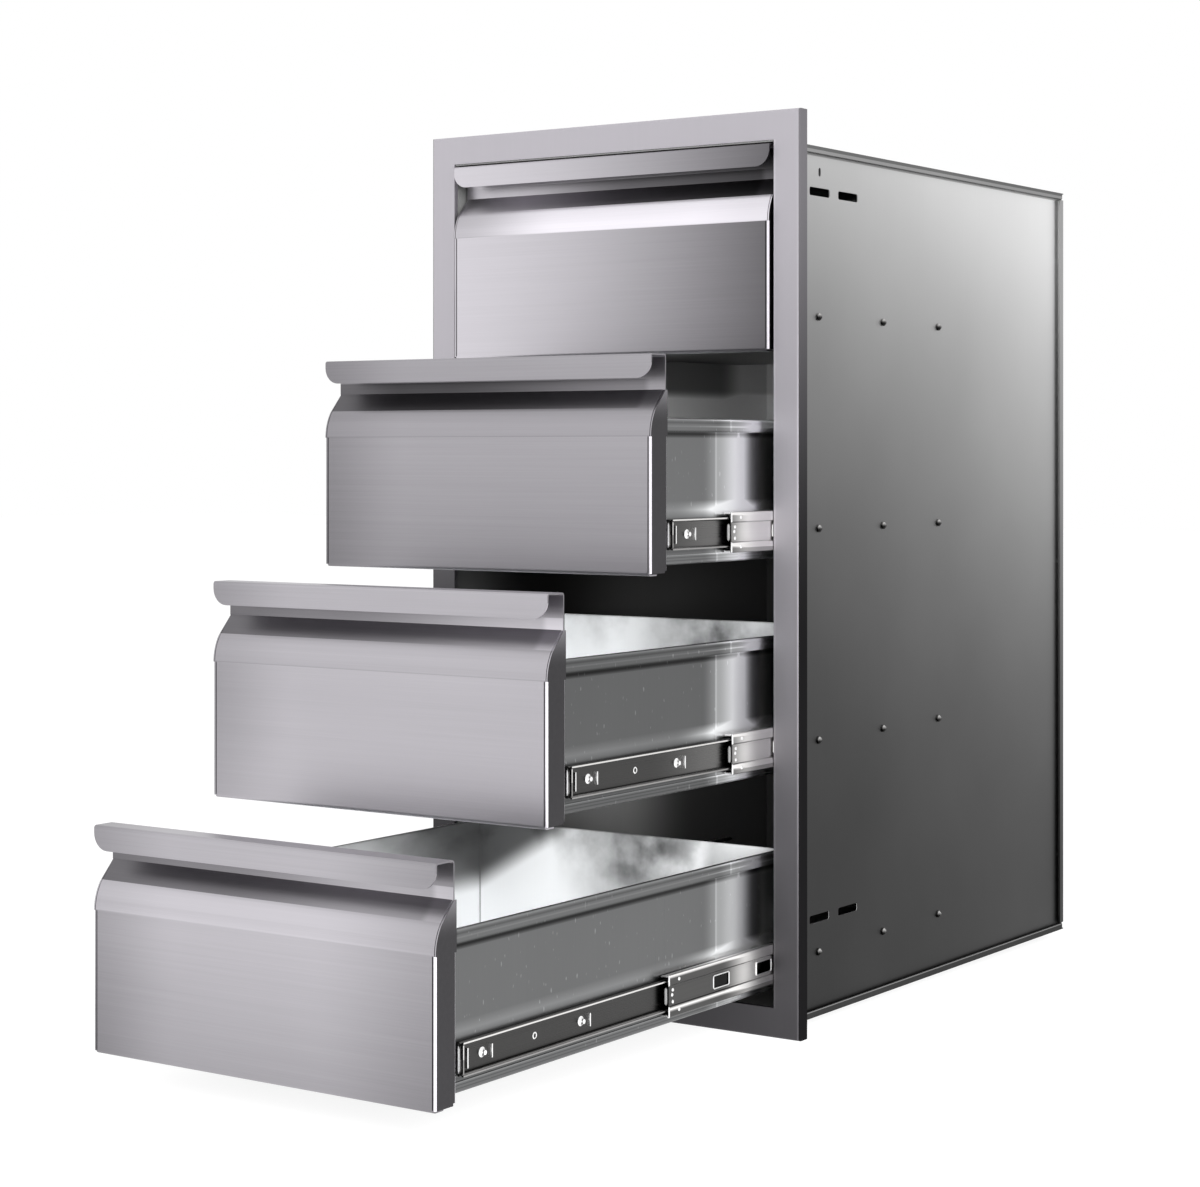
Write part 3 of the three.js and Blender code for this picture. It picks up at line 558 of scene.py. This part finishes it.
# The small fittings' full level is a painted highlight, which makes their edges, screws and wires stand out
# white.
highlight_finish = steel("bright_steel", evenly(1.0), NEUTRAL, Y, 0.02, 0.02, 0.25)
cage_finish = steel("cage_steel", evenly(0.05), NEUTRAL, Y, 0.05, 0.05)
bumper_finish = steel("bumper_rubber", evenly(0.38), NEUTRAL, Y, 0.08, 0.1, 0.5, evenly(0.0))
EDGE_TINT = (0.5, 0.5, 0.5, 1)
for finish in (frame_finish, panel_finish):
    finish.set(Specular_Tint=EDGE_TINT)
steels = [material.name for material in bpy.data.materials if material.name.endswith("steel")]
print("finishes:", ", ".join(steels))

# %% [markdown]
# The floor is pale and matt. To the camera, to reflections and through glass it glows enough to join the
# white background, while the weaker diffuse part of it still keeps the drawers' soft shadow.

# %% Floor finish
FLOOR_SHARE = 0.75
FLOOR_GLOW = 1.16
floor_finish = Finish("pale_floor")
floor_finish.set(Base_Color=FLOOR_TONE, Roughness=0.9)
path = floor_finish.node("ShaderNodeLightPath", {}, {}, "Is Camera Ray")
seen = path.math("MAXIMUM", Varying(floor_finish, path.socket.node.outputs["Is Glossy Ray"]))
seen = seen.math("MAXIMUM", Varying(floor_finish, path.socket.node.outputs["Is Transmission Ray"]))
glow = floor_finish.node("ShaderNodeEmission", {}, {"Color": WHITE, "Strength": FLOOR_GLOW})
surface = Varying(floor_finish, floor_finish.shader.outputs[0])
joined = floor_finish.node("ShaderNodeMixShader", {}, {0: seen * FLOOR_SHARE, 1: surface, 2: glow})
floor_finish.tree.links.new(joined.socket, floor_finish.tree.nodes["Material Output"].inputs["Surface"])
floor.data.materials.append(floor_finish.material)
print("the floor glows at", FLOOR_SHARE * FLOOR_GLOW)

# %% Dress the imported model
FINISHES = {
    "face_frame": frame_finish, "side_panel": panel_finish, "top_panel": panel_finish,
    "bottom_panel": panel_finish, "back_panel": panel_finish, "drawer_front": front_finish,
    "drawer_box": drawer_finish, "drawer_member": slide_finish, "middle_member": slide_finish,
    "cabinet_member": slide_finish, "outer_ball_cage": cage_finish, "inner_ball_cage": cage_finish,
}


def dress(piece, finish):
    """Gives a piece one material in place of all that it has."""
    piece.data.materials.clear()
    piece.data.materials.append(finish.material)


for name, piece in nodes.items():
    kind = next(kind for kind in FINISHES if name.startswith(kind))
    dress(piece, FINISHES[kind])
print("dressed", len(nodes), "nodes")

# %% [markdown]
# ## Bent sheet as surfaces
#
# Nearly every piece here is one sheet, bent along straight lines. Seen from its end such a piece is a line
# with rounded corners, so one function rounds the corners of a line, a second gives the line its thickness
# and carries it along the third axis. A flat mesh with hard edges would show no bright line along a bend, and
# that line is what makes folded steel look folded.

# %% Lines with rounded corners
CORNER_STEPS = 5
SUPPORT = 0.0004
LEG_SHARE = 0.8


def unit(vector):
    return vector / np.linalg.norm(vector)


def rounded(corners, radius):
    """The line through the corners, each inner one replaced by an arc that touches both of its legs.

    An arc starts radius / tan(half the corner's angle) from the corner, or nearer where a leg is short. Its
    centre lies on the corner's bisector, radius / sin(half the angle) away. A point is added just outside
    each end of the arc, which keeps the flats flat when the surface is shaded smooth.
    """
    corners = [np.asarray(corner, float) for corner in corners]
    points = [corners[0]]
    for before, corner, after in zip(corners, corners[1:], corners[2:]):
        back, on = unit(before - corner), unit(after - corner)
        half = math.acos(np.clip(back @ on, -1, 1)) / 2
        room = min(np.linalg.norm(before - corner), np.linalg.norm(after - corner)) / 2
        reach = min(radius / math.tan(half), room * LEG_SHARE)
        bend = reach * math.tan(half)
        centre = corner + unit(back + on) * bend / math.sin(half)
        start, end = corner + back * reach, corner + on * reach
        first, last = (math.atan2(*(point - centre)[::-1]) for point in (start, end))
        turn = (last - first + math.pi) % (2 * math.pi) - math.pi
        angles = first + turn * np.linspace(0, 1, CORNER_STEPS + 1)
        arc = centre + bend * np.stack([np.cos(angles), np.sin(angles)], 1)
        support = min(SUPPORT, (room - reach) / 2)
        points += [start + back * support, *arc, end + on * support]
    points.append(corners[-1])
    return np.array(points)


def sheet_outline(line, thickness):
    """The closed outline at half the thickness to each side of a line, moved along its mitred normals."""
    runs = np.diff(line, axis=0)
    runs /= np.linalg.norm(runs, axis=1)[:, None]
    normals = np.stack([-runs[:, 1], runs[:, 0]], 1)
    before = np.vstack([normals[:1], normals])
    after = np.vstack([normals, normals[-1:]])
    mitre = before + after
    mitre /= np.linalg.norm(mitre, axis=1)[:, None]
    reach = mitre * (thickness / 2 / (mitre * after).sum(1))[:, None]
    return np.vstack([line + reach, (line - reach)[::-1]])


# %% Sweeps, plates and turned shapes
# Which of a surface's three numbers (two of its section, then the one along it) become x, y and z.
ALONG_X = [2, 0, 1]
ALONG_Y = [0, 2, 1]
ALONG_Z = [0, 1, 2]
FACING_X = [2, 1, 0]


def sweep(line, thickness, stations, order, shape=None):
    """A sheet whose end view is the line, carried through the stations along the third axis.

    Each station repeats the outline; shape(outline, station) may change it there.
    """
    outline = sheet_outline(line, thickness)
    rings = [outline if shape is None else shape(outline, station) for station in stations]
    count, turns = len(outline), len(stations)
    flat = np.concatenate([np.column_stack([ring, np.full(count, at)]) for ring, at in zip(rings, stations)])
    around = np.arange(count)
    onward = (around + 1) % count
    side = np.column_stack([around, onward, onward + count, around + count])
    step = np.arange(count // 2 - 1)
    cap = np.column_stack([step, step + 1, count - 2 - step, count - 1 - step])
    sides = [side + count * turn for turn in range(turns - 1)]
    return flat[:, order], np.concatenate([*sides, cap, cap + (turns - 1) * count])


def plate(u_lines, v_lines, low, high, order, holes=()):
    """A flat plate on a grid of lines, between low and high, open where a cell's centre is in a hole.

    Each solid cell has a face on both sides, and a wall towards each neighbour that is open or outside.
    """
    u_lines, v_lines = np.asarray(u_lines, float), np.asarray(v_lines, float)
    u, v = (u_lines[1:] + u_lines[:-1]) / 2, (v_lines[1:] + v_lines[:-1]) / 2
    filled = np.ones((len(u), len(v)), bool)
    for u0, u1, v0, v1 in holes:
        filled &= ~(((u > u0) & (u < u1))[:, None] & ((v > v0) & (v < v1))[None, :])
    around = np.pad(filled, 1)
    grid = np.stack(np.meshgrid(u_lines, v_lines, indexing="ij"), -1).reshape(-1, 2)
    flat = np.concatenate([np.column_stack([grid, np.full(len(grid), level)]) for level in (low, high)])
    i, j = np.nonzero(filled)
    corner = np.stack([(i + a) * len(v_lines) + j + b for a, b in ((0, 0), (1, 0), (1, 1), (0, 1))], 1)
    faces = [corner[:, ::-1], corner + len(grid)]
    for side, (a, b) in enumerate([(0, -1), (1, 0), (0, 1), (-1, 0)]):
        edge = corner[~around[i + 1 + a, j + 1 + b]]
        first, second = edge[:, side], edge[:, (side + 1) % 4]
        faces.append(np.stack([first, second, second + len(grid), first + len(grid)], 1))
    return flat[:, order], np.concatenate(faces)


def turned(profile, centre, steps=16):
    """A solid of revolution about X: each (distance along X, radius) becomes a circle of steps points."""
    along, radius = np.asarray(profile, float).T
    angles = np.linspace(0, 2 * np.pi, steps, endpoint=False)
    circle = np.stack([np.cos(angles), np.sin(angles)], 1)
    rings = radius[:, None, None] * circle
    points = np.concatenate([np.repeat(along, steps)[:, None], rings.reshape(-1, 2)], 1)
    around = np.arange(steps)
    onward = (around + 1) % steps
    row = np.column_stack([around, onward, onward + steps, around + steps])
    return points + centre, np.concatenate([row + steps * ring for ring in range(len(along) - 1)])


def bead(path, up, radius, closed=False, sides=8):
    """A round wire along a path in a plane: path + radius (cos a n + sin a up), n being across path and up.

    The radius may be one number or one for each point; an open wire's ends are closed where it is zero.
    """
    if closed:
        along = np.roll(path, -1, axis=0) - np.roll(path, 1, axis=0)
    else:
        along = np.gradient(path, axis=0)
    along /= np.linalg.norm(along, axis=1)[:, None]
    across = np.cross(along, up)
    angles = np.linspace(0, 2 * np.pi, sides, endpoint=False)
    spread = across[:, None] * np.cos(angles)[:, None] + np.asarray(up, float) * np.sin(angles)[:, None]
    rings = path[:, None] + spread * np.broadcast_to(radius, len(path))[:, None, None]
    around = np.arange(sides)
    onward = (around + 1) % sides
    start = np.arange(len(path) if closed else len(path) - 1)[:, None] * sides
    end = (start + sides) % (len(path) * sides)
    faces = np.stack([start + around, start + onward, end + onward, end + around], -1)
    return rings.reshape(-1, 3), faces.reshape(-1, 4)


def tapered(count, radius):
    """A wire's radius at each of its points: the same along it, and 0 at both ends, which closes them."""
    radii = np.full(count, radius)
    radii[[0, -1]] = 0
    return radii


def mirrored(part):
    points, faces = part
    return points * (-1, 1, 1), faces


def upside_down(part):
    points, faces = part
    return points * (1, 1, -1), faces


# %% Making a piece
SHARP_ANGLE = math.radians(38)
MERGE_DISTANCE = 0.000001


def make(name, parts, body, finish, replaces=(), shift=(0, 0, 0)):
    """Joins parts into one mesh with outward faces and hard edges only where it turns sharply."""
    counts = np.cumsum([0] + [len(points) for points, _ in parts])
    points = np.concatenate([points for points, _ in parts]) + shift
    faces = np.concatenate([faces + first for (_, faces), first in zip(parts, counts)])
    mesh = bpy.data.meshes.new(name)
    mesh.from_pydata(points.tolist(), [], faces.tolist())
    work = bmesh.new()
    work.from_mesh(mesh)
    bmesh.ops.remove_doubles(work, verts=work.verts, dist=MERGE_DISTANCE)
    bmesh.ops.recalc_face_normals(work, faces=work.faces)
    work.to_mesh(mesh)
    work.free()
    mesh.shade_smooth()
    mesh.set_sharp_from_angle(angle=SHARP_ANGLE)
    piece = bpy.data.objects.new(name, mesh)
    bpy.context.scene.collection.objects.link(piece)
    dress(piece, finish)
    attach(piece, body)
    if replaces:
        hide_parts(*replaces)
    return piece


# %% [markdown]
# ## Drawer fronts
#
# Each front is bent from one sheet. The top edge is folded forward into a pull lip with rounded lower
# corners, a plate drops behind it, and the sheet slopes forward and rolls into the flat face. The face is
# folded back at both sides and at the bottom, and each side's upper edge follows the roll. The lip is the
# only part that isn't a plain sweep: its lower edge rises in a quarter circle near each end.

# %% The front's profile
MM = 0.001
DRAWERS = (1, 2, 3, 4)
SHEET = 1.2 * MM
HALF_FRONT = 174 * MM
FRONT_HEIGHT = 182.5 * MM
LIP_BOTTOM, LIP_DEPTH, LIP_CORNER, LIP_BEND = 162.5 * MM, 22 * MM, 14 * MM, 1.9 * MM
PLATE_BOTTOM, SCOOP_TOP, SCOOP_DEPTH, PAN_TOP = 153 * MM, 136.5 * MM, 6.6 * MM, 114.5 * MM
PAN_DEPTH, PAN_BEND, PAN_RETURN, BOTTOM_RETURN = 24.5 * MM, 2.0 * MM, 17 * MM, 12 * MM
CORNER_CUT = 4 * MM
SEAM = 0.6 * MM
OVERLAP = 1 * MM
ROLL_STEPS = 14
LIP_STEPS = 9
HALF_SHEET = SHEET / 2


def roll_line():
    """The roll from the scoop down to the face: a circle that meets the face upright.

    Its radius follows from how far it goes back and up: (back^2 + up^2) / (2 back).
    """
    up = SCOOP_TOP - PAN_TOP
    radius = (SCOOP_DEPTH ** 2 + up ** 2) / (2 * SCOOP_DEPTH)
    angles = np.linspace(math.asin(up / radius), 0, ROLL_STEPS)
    return np.stack([radius * (1 - np.cos(angles)), PAN_TOP + radius * np.sin(angles)], 1)


def lip_shape(outline, x):
    """Raises the lip's free edge near its ends by R - sqrt(R^2 - d^2).

    R is the radius of the lip's corner, and d is how far x is into it.
    """
    into = min(max(abs(x) - (HALF_FRONT - LIP_CORNER), 0), LIP_CORNER)
    shaped = outline.copy()
    shaped[[0, -1], 1] += LIP_CORNER - math.sqrt(max(LIP_CORNER ** 2 - into ** 2, 0))
    return shaped


# %% The front's parts
def cap_part():
    back = LIP_DEPTH - HALF_SHEET
    top = FRONT_HEIGHT - HALF_SHEET
    line = rounded([(HALF_SHEET, LIP_BOTTOM), (HALF_SHEET, top), (back, top), (back, PLATE_BOTTOM)], LIP_BEND)
    turn = np.linspace(0, math.pi / 2, LIP_STEPS)
    ends = HALF_FRONT - LIP_CORNER * (1 - np.sin(turn))
    return sweep(line, SHEET, np.concatenate([-ends[::-1], ends]), ALONG_X, lip_shape)


def scoop_part():
    line = np.vstack([(LIP_DEPTH - HALF_SHEET, PLATE_BOTTOM), roll_line() + (HALF_SHEET, 0)])
    half = HALF_FRONT - SHEET - SEAM
    return sweep(line, SHEET, (-half, half), ALONG_X)


def face_part(half):
    line = rounded([(HALF_SHEET, PAN_TOP), (HALF_SHEET, HALF_SHEET), (BOTTOM_RETURN, HALF_SHEET)], PAN_BEND)
    return sweep(line, SHEET, (-half, half), ALONG_X)


def flange_parts(half):
    """One side's flange in two lengths: the full depth, and the cut corner below it."""
    edge = HALF_FRONT - HALF_SHEET
    deep = [(half - OVERLAP, HALF_SHEET), (edge, HALF_SHEET), (edge, PAN_DEPTH - HALF_SHEET),
            (HALF_FRONT - PAN_RETURN, PAN_DEPTH - HALF_SHEET)]
    cut = [*deep[:2], (edge, PAN_DEPTH - CORNER_CUT)]
    return [sweep(rounded(deep, PAN_BEND), SHEET, (CORNER_CUT, PAN_TOP), ALONG_Z),
            sweep(rounded(cut, PAN_BEND), SHEET, (PAN_BEND, CORNER_CUT), ALONG_Z)]


def cheek_part():
    """The side above the face: a flat plate whose front edge is the roll and whose back edge is upright."""
    front = np.vstack([(LIP_DEPTH - HALF_SHEET, PLATE_BOTTOM), roll_line()])
    back = np.column_stack([np.full(len(front), PAN_DEPTH), front[:, 1]])
    strip = np.stack([front, back], 1).reshape(-1, 2)
    row = np.arange(len(front) - 1)[:, None] * 2 + np.array([0, 1, 3, 2])
    level = [np.column_stack([strip, np.full(len(strip), x)]) for x in (HALF_FRONT - SHEET, HALF_FRONT)]
    above = len(strip)
    ends = np.array([[0, 1, 1 + above, above], [above - 2, above - 1, 2 * above - 1, 2 * above - 2]])
    edges = [(row[:, first], row[:, last]) for first, last in ((0, 3), (1, 2))]
    walls = [np.stack([first, last, last + above, first + above], 1) for first, last in edges]
    return np.concatenate(level)[:, ALONG_X], np.concatenate([row, row + above, ends, *walls])


# %% Drawer fronts
HALF_FACE = HALF_FRONT - HALF_SHEET - PAN_BEND
SIDE_PARTS = [*flange_parts(HALF_FACE), cheek_part()]
FRONT_PARTS = [cap_part(), scoop_part(), face_part(HALF_FACE), *SIDE_PARTS, *map(mirrored, SIDE_PARTS)]
FACE_Y = {k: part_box(f"drawer_front_{k}")[0].y for k in DRAWERS}
FLOOR_Z = {k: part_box(f"drawer_front_{k}")[0].z for k in DRAWERS}
for k in DRAWERS:
    shift = (0, FACE_Y[k], FLOOR_Z[k])
    make(f"front_{k}", FRONT_PARTS, f"drawer_{k}", front_finish, [f"drawer_front_{k}"], shift)
print("fronts stand at", {k: round(FACE_Y[k], 4) for k in DRAWERS})

# %% [markdown]
# ## Drawer boxes
#
# The side and back walls are folded over outward at the rim, which stiffens them and hides the raw edge. The
# floor is a tray that is turned up outside the walls. Both are sweeps, so the rim gets a real rounded edge.

# %% Drawer boxes
BOX_SHEET = 1.0 * MM
HALF_BOX = 166.7 * MM
BOX_START, BOX_LENGTH = 24.8 * MM, 479 * MM
BOX_FLOOR, BOX_TOP = 8 * MM, 130 * MM
RIM_WIDTH, RIM_FOLD, RIM_BEND = 2.7 * MM, 10.5 * MM, 1.1 * MM
PAN_UPTURN = 8 * MM
REAR_GAP = 0.3 * MM
FRONT_SCREW_X, FRONT_SCREW_SHARES = HALF_FRONT - 14 * MM, (0.17, 0.5)
PAN_HEAD = np.array([(-0.4, 0), (-0.4, 4.0), (0.6, 4.0), (1.3, 3.2), (1.6, 1.8), (1.6, 0)]) * MM
PAN_HEAD_STEPS = 14


def rim_line():
    inner, top = HALF_BOX - BOX_SHEET / 2, BOX_TOP - BOX_SHEET / 2
    return rounded([(inner, BOX_FLOOR), (inner, top), (inner + RIM_WIDTH, top),
                    (inner + RIM_WIDTH, top - RIM_FOLD)], RIM_BEND)


def box_parts():
    inner, outer, floor_level = HALF_BOX - BOX_SHEET / 2, HALF_BOX + BOX_SHEET / 2, BOX_FLOOR + BOX_SHEET / 2
    end = BOX_START + BOX_LENGTH
    rear = end - RIM_WIDTH - REAR_GAP
    wall = sweep(rim_line(), BOX_SHEET, (BOX_START, end), ALONG_Y)
    back = sweep(rim_line() + (rear - HALF_BOX, 0), BOX_SHEET, (-inner, inner), ALONG_X)
    tray = rounded([(-outer, BOX_FLOOR + PAN_UPTURN), (-outer, floor_level), (outer, floor_level),
                    (outer, BOX_FLOOR + PAN_UPTURN)], RIM_BEND)
    heights = (BOX_FLOOR, BOX_TOP - BOX_SHEET / 2)
    front = plate((-inner, inner), heights, BOX_START, BOX_START + BOX_SHEET, ALONG_Y)
    pan = sweep(tray, BOX_SHEET, (BOX_START, rear - BOX_SHEET / 2), ALONG_Y)
    return [wall, mirrored(wall), back, pan, front]


def front_screw_parts():
    """The heads of the screws that hold the front, inside the box: turned about X, then laid along Y."""
    face = BOX_START + BOX_SHEET
    heads = [turned(PAN_HEAD, (face, x, share * FRONT_HEIGHT), PAN_HEAD_STEPS)
             for x in (-FRONT_SCREW_X, FRONT_SCREW_X) for share in FRONT_SCREW_SHARES]
    return [(points[:, [1, 0, 2]], faces) for points, faces in heads]


BOX_PARTS = box_parts()
for k in DRAWERS:
    shift = (0, FACE_Y[k], FLOOR_Z[k])
    make(f"box_{k}", BOX_PARTS, f"drawer_{k}", drawer_finish, [f"drawer_box_{k}"], shift)
    make(f"front_screws_{k}", front_screw_parts(), f"drawer_{k}", highlight_finish, shift=shift)
print("boxes and their screws:", len(DRAWERS))

# %% [markdown]
# ## Slides
#
# A full-extension slide has three members. The one on the drawer is a shallow channel with its open side
# outward, screwed on with pan heads. The middle one is a wider channel with its ball races along its edges
# and punched windows between them. The cabinet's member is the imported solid. The sections of the other two
# are drawn by depth from the side panel and by height from the slide's middle.

# %% Slide sections
SIDE_INNER = 179.4 * MM
SLIDE_BEND = 0.5 * MM
MEMBER_SHEET, MIDDLE_SHEET = 1.2 * MM, 1.1 * MM
DRAWER_MEMBER = [(11.8, 12.15), (10.6, 12.15), (9.7, 11.25), (8.3, 11.25), (7.4, 12.15), (6.2, 12.15)]
MIDDLE_MEMBER = [(5.1, 6.5), (5.1, 8.2), (3.95, 9.3), (3.95, 16.95), (5.15, 16.95), (6.05, 16.05),
                 (10.85, 16.05), (10.85, 14.85)]


def placed(half_line):
    """Turns (depth, height) in millimetres into x and z, for the right-hand slide."""
    line = np.asarray(half_line) * MM
    return np.column_stack([SIDE_INNER - line[:, 0], line[:, 1]])


# %% Drawer members
SLIDE_LENGTH = 466 * MM
SCREW_PLACES = (29 * MM, 158 * MM, 410 * MM)
HOLE_PLACE = 96 * MM
WEB_FACE = SIDE_INNER - 11.2 * MM
TAB_WIDTH, TAB_HALF = 4.6 * MM, 10.6 * MM
STOP_PLACE, STOP_HALF, STOP_WIDTH = 6.5 * MM, 7.5 * MM, 3.6 * MM
HOOK_GAP, HOOK_HALF, HOOK_WIDTH = 8 * MM, 5.2 * MM, 3.3 * MM
EDGE_WIRE, EDGE_STEPS = 0.85 * MM, 9
SCREW = np.array([(-0.4, 0), (-0.4, 4.0), (0.0, 4.0), (0.3, 3.0), (0.8, 2.1), (1.5, 1.5), (2.2, 1.3),
                  (2.8, 1.6), (3.2, 1.9), (3.3, 0)]) * MM
HOLE_RIM = np.array([(-0.4, 0), (-0.4, 3.0), (0.15, 2.9), (0.5, 2.3), (0.3, 1.8), (-0.3, 1.6),
                     (-0.35, 0)]) * MM
AXIS_X, AXIS_Y = (1, 0, 0), (0, 1, 0)


def upright(place, half, width):
    """A small tab bent out of the web, standing across the slide."""
    across = (WEB_FACE - MEMBER_SHEET / 2, WEB_FACE + width)
    return plate(across, (-half, half), place, place + MEMBER_SHEET, ALONG_Y)


def channel_parts():
    upper = placed(DRAWER_MEMBER)
    line = np.vstack([upper[::-1] * (1, -1), upper])
    channel = sweep(rounded(line, SLIDE_BEND), MEMBER_SHEET, (0, SLIDE_LENGTH), ALONG_Y)
    return [channel, upright(0, TAB_HALF, TAB_WIDTH)]


def fitting_parts():
    """What is bright on the drawer's member: the screws, their tabs, the hole's rim and the front end."""
    heights = np.linspace(-TAB_HALF, TAB_HALF, EDGE_STEPS)
    wire = np.array([(WEB_FACE + EDGE_WIRE, -EDGE_WIRE, z) for z in heights])
    return [
        bead(wire, AXIS_X, tapered(EDGE_STEPS, EDGE_WIRE)),
        upright(STOP_PLACE, STOP_HALF, STOP_WIDTH),
        *(upright(place + HOOK_GAP, HOOK_HALF, HOOK_WIDTH) for place in SCREW_PLACES),
        *(turned(SCREW, (WEB_FACE, place, 0)) for place in SCREW_PLACES),
        turned(HOLE_RIM, (WEB_FACE, HOLE_PLACE, 0)),
    ]


# %% Middle members
MIDDLE_LENGTH = 392 * MM
MIDDLE_WEB = SIDE_INNER - 5.1 * MM
WINDOW_STARTS = np.arange(4) * 70 * MM + 69 * MM
WINDOW_LENGTH, WINDOW_HALF, WINDOW_CORNER = 25 * MM, 5.5 * MM, 1.5 * MM
WINDOW_WIRE, WINDOW_PROUD = 0.6 * MM, 0.15 * MM
WEB_HALF = 6.6 * MM
HOOK_WIRE, HOOK_PLACE = 0.8 * MM, -0.5 * MM
RACE_FACE = SIDE_INNER - 3.4 * MM
DIMPLE = np.array([(-0.3, 0), (-0.3, 1.7), (0.3, 1.5), (0.7, 0.9), (0.8, 0)]) * MM
DIMPLE_STEPS = 12
DIMPLE_PLACES = np.array([(14, 12.6), (14, -12.6)]) * MM
STUD_PLACES = np.array([(6, 4.6), (5, 0.6), (6, -5.2)]) * MM


def window_wire(start):
    """A rounded rectangle of wire round one window, which is the raised edge that the punch leaves."""
    end, half = start + WINDOW_LENGTH, WINDOW_HALF
    middle = (start + end) / 2
    corners = [(middle, half), (end, half), (end, -half), (start, -half), (start, half), (middle, half)]
    line = rounded(corners, WINDOW_CORNER)[:-1]
    height = np.full(len(line), MIDDLE_WEB + MIDDLE_SHEET / 2 + WINDOW_PROUD)
    return bead(np.column_stack([height, line]), AXIS_X, WINDOW_WIRE, closed=True)


def end_hook():
    """The cut end of the upper race, rounded over: a wire along the race's own section."""
    line = rounded(placed(MIDDLE_MEMBER[1:]), SLIDE_BEND)
    path = np.column_stack([line[:, 0], np.full(len(line), HOOK_PLACE), line[:, 1]])
    return bead(path, AXIS_Y, tapered(len(line), HOOK_WIRE))


def middle_member_parts():
    race = sweep(rounded(placed(MIDDLE_MEMBER), SLIDE_BEND), MIDDLE_SHEET, (0, MIDDLE_LENGTH), ALONG_Y)
    along = np.sort(np.concatenate([[0, MIDDLE_LENGTH], WINDOW_STARTS, WINDOW_STARTS + WINDOW_LENGTH]))
    holes = [(-WINDOW_HALF, WINDOW_HALF, start, start + WINDOW_LENGTH) for start in WINDOW_STARTS]
    across = (-WEB_HALF, -WINDOW_HALF, WINDOW_HALF, WEB_HALF)
    face = MIDDLE_WEB + MIDDLE_SHEET / 2
    return [race, upside_down(race), plate(across, along, face - MIDDLE_SHEET, face, FACING_X, holes)]


def edge_parts():
    """What is bright on the middle member: its cut ends, the windows' edges, and the dimples and studs."""
    return [
        end_hook(), upside_down(end_hook()), *map(window_wire, WINDOW_STARTS),
        *(turned(DIMPLE, (RACE_FACE, *place), DIMPLE_STEPS) for place in DIMPLE_PLACES),
        *(turned(DIMPLE, (MIDDLE_WEB + MIDDLE_SHEET / 2, *place), DIMPLE_STEPS) for place in STUD_PLACES),
    ]


# %% Bumpers
BUMPER_PLACE, BUMPER_HALF, BUMPER_RADIUS, BUMPER_STEPS = -1.8 * MM, 7.5 * MM, 1.2 * MM, 13


def bumper_parts():
    """A rubber pad across the middle member's front end: an upright wire with blunt round ends.

    Its radius is r sqrt(1 - s^8), where s runs from -1 at the lower end to 1 at the upper one.
    """
    share = np.linspace(-1, 1, BUMPER_STEPS)
    path = np.array([(MIDDLE_WEB - BUMPER_RADIUS, BUMPER_PLACE, z) for z in share * BUMPER_HALF])
    return [bead(path, AXIS_X, BUMPER_RADIUS * np.sqrt(1 - share ** 8))]


# %% Placing the slides
MEMBERS = {
    "drawer_member": (channel_parts(), slide_finish, fitting_parts(), "fittings", "drawer_"),
    "middle_member": (middle_member_parts(), middle_finish, edge_parts(), "edges", "middle_slides_"),
}
for k in DRAWERS:
    for kind, (parts, finish, details, details_name, body) in MEMBERS.items():
        low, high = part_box(f"{kind}_{k}_right")
        shift = (0, low.y, (low.z + high.z) / 2)
        for side in ("right", "left"):
            turn = mirrored if side == "left" else tuple
            node, rides = f"{kind}_{k}_{side}", f"{body}{k}"
            make(f"slide_{node}", [*map(turn, parts)], rides, finish, [node], shift)
            trim = [*map(turn, details)]
            make(f"{details_name}_{k}_{side}", trim, rides, highlight_finish, shift=shift)
            if kind == "middle_member":
                pad = [*map(turn, bumper_parts())]
                make(f"bumper_{k}_{side}", pad, rides, bumper_finish, shift=shift)
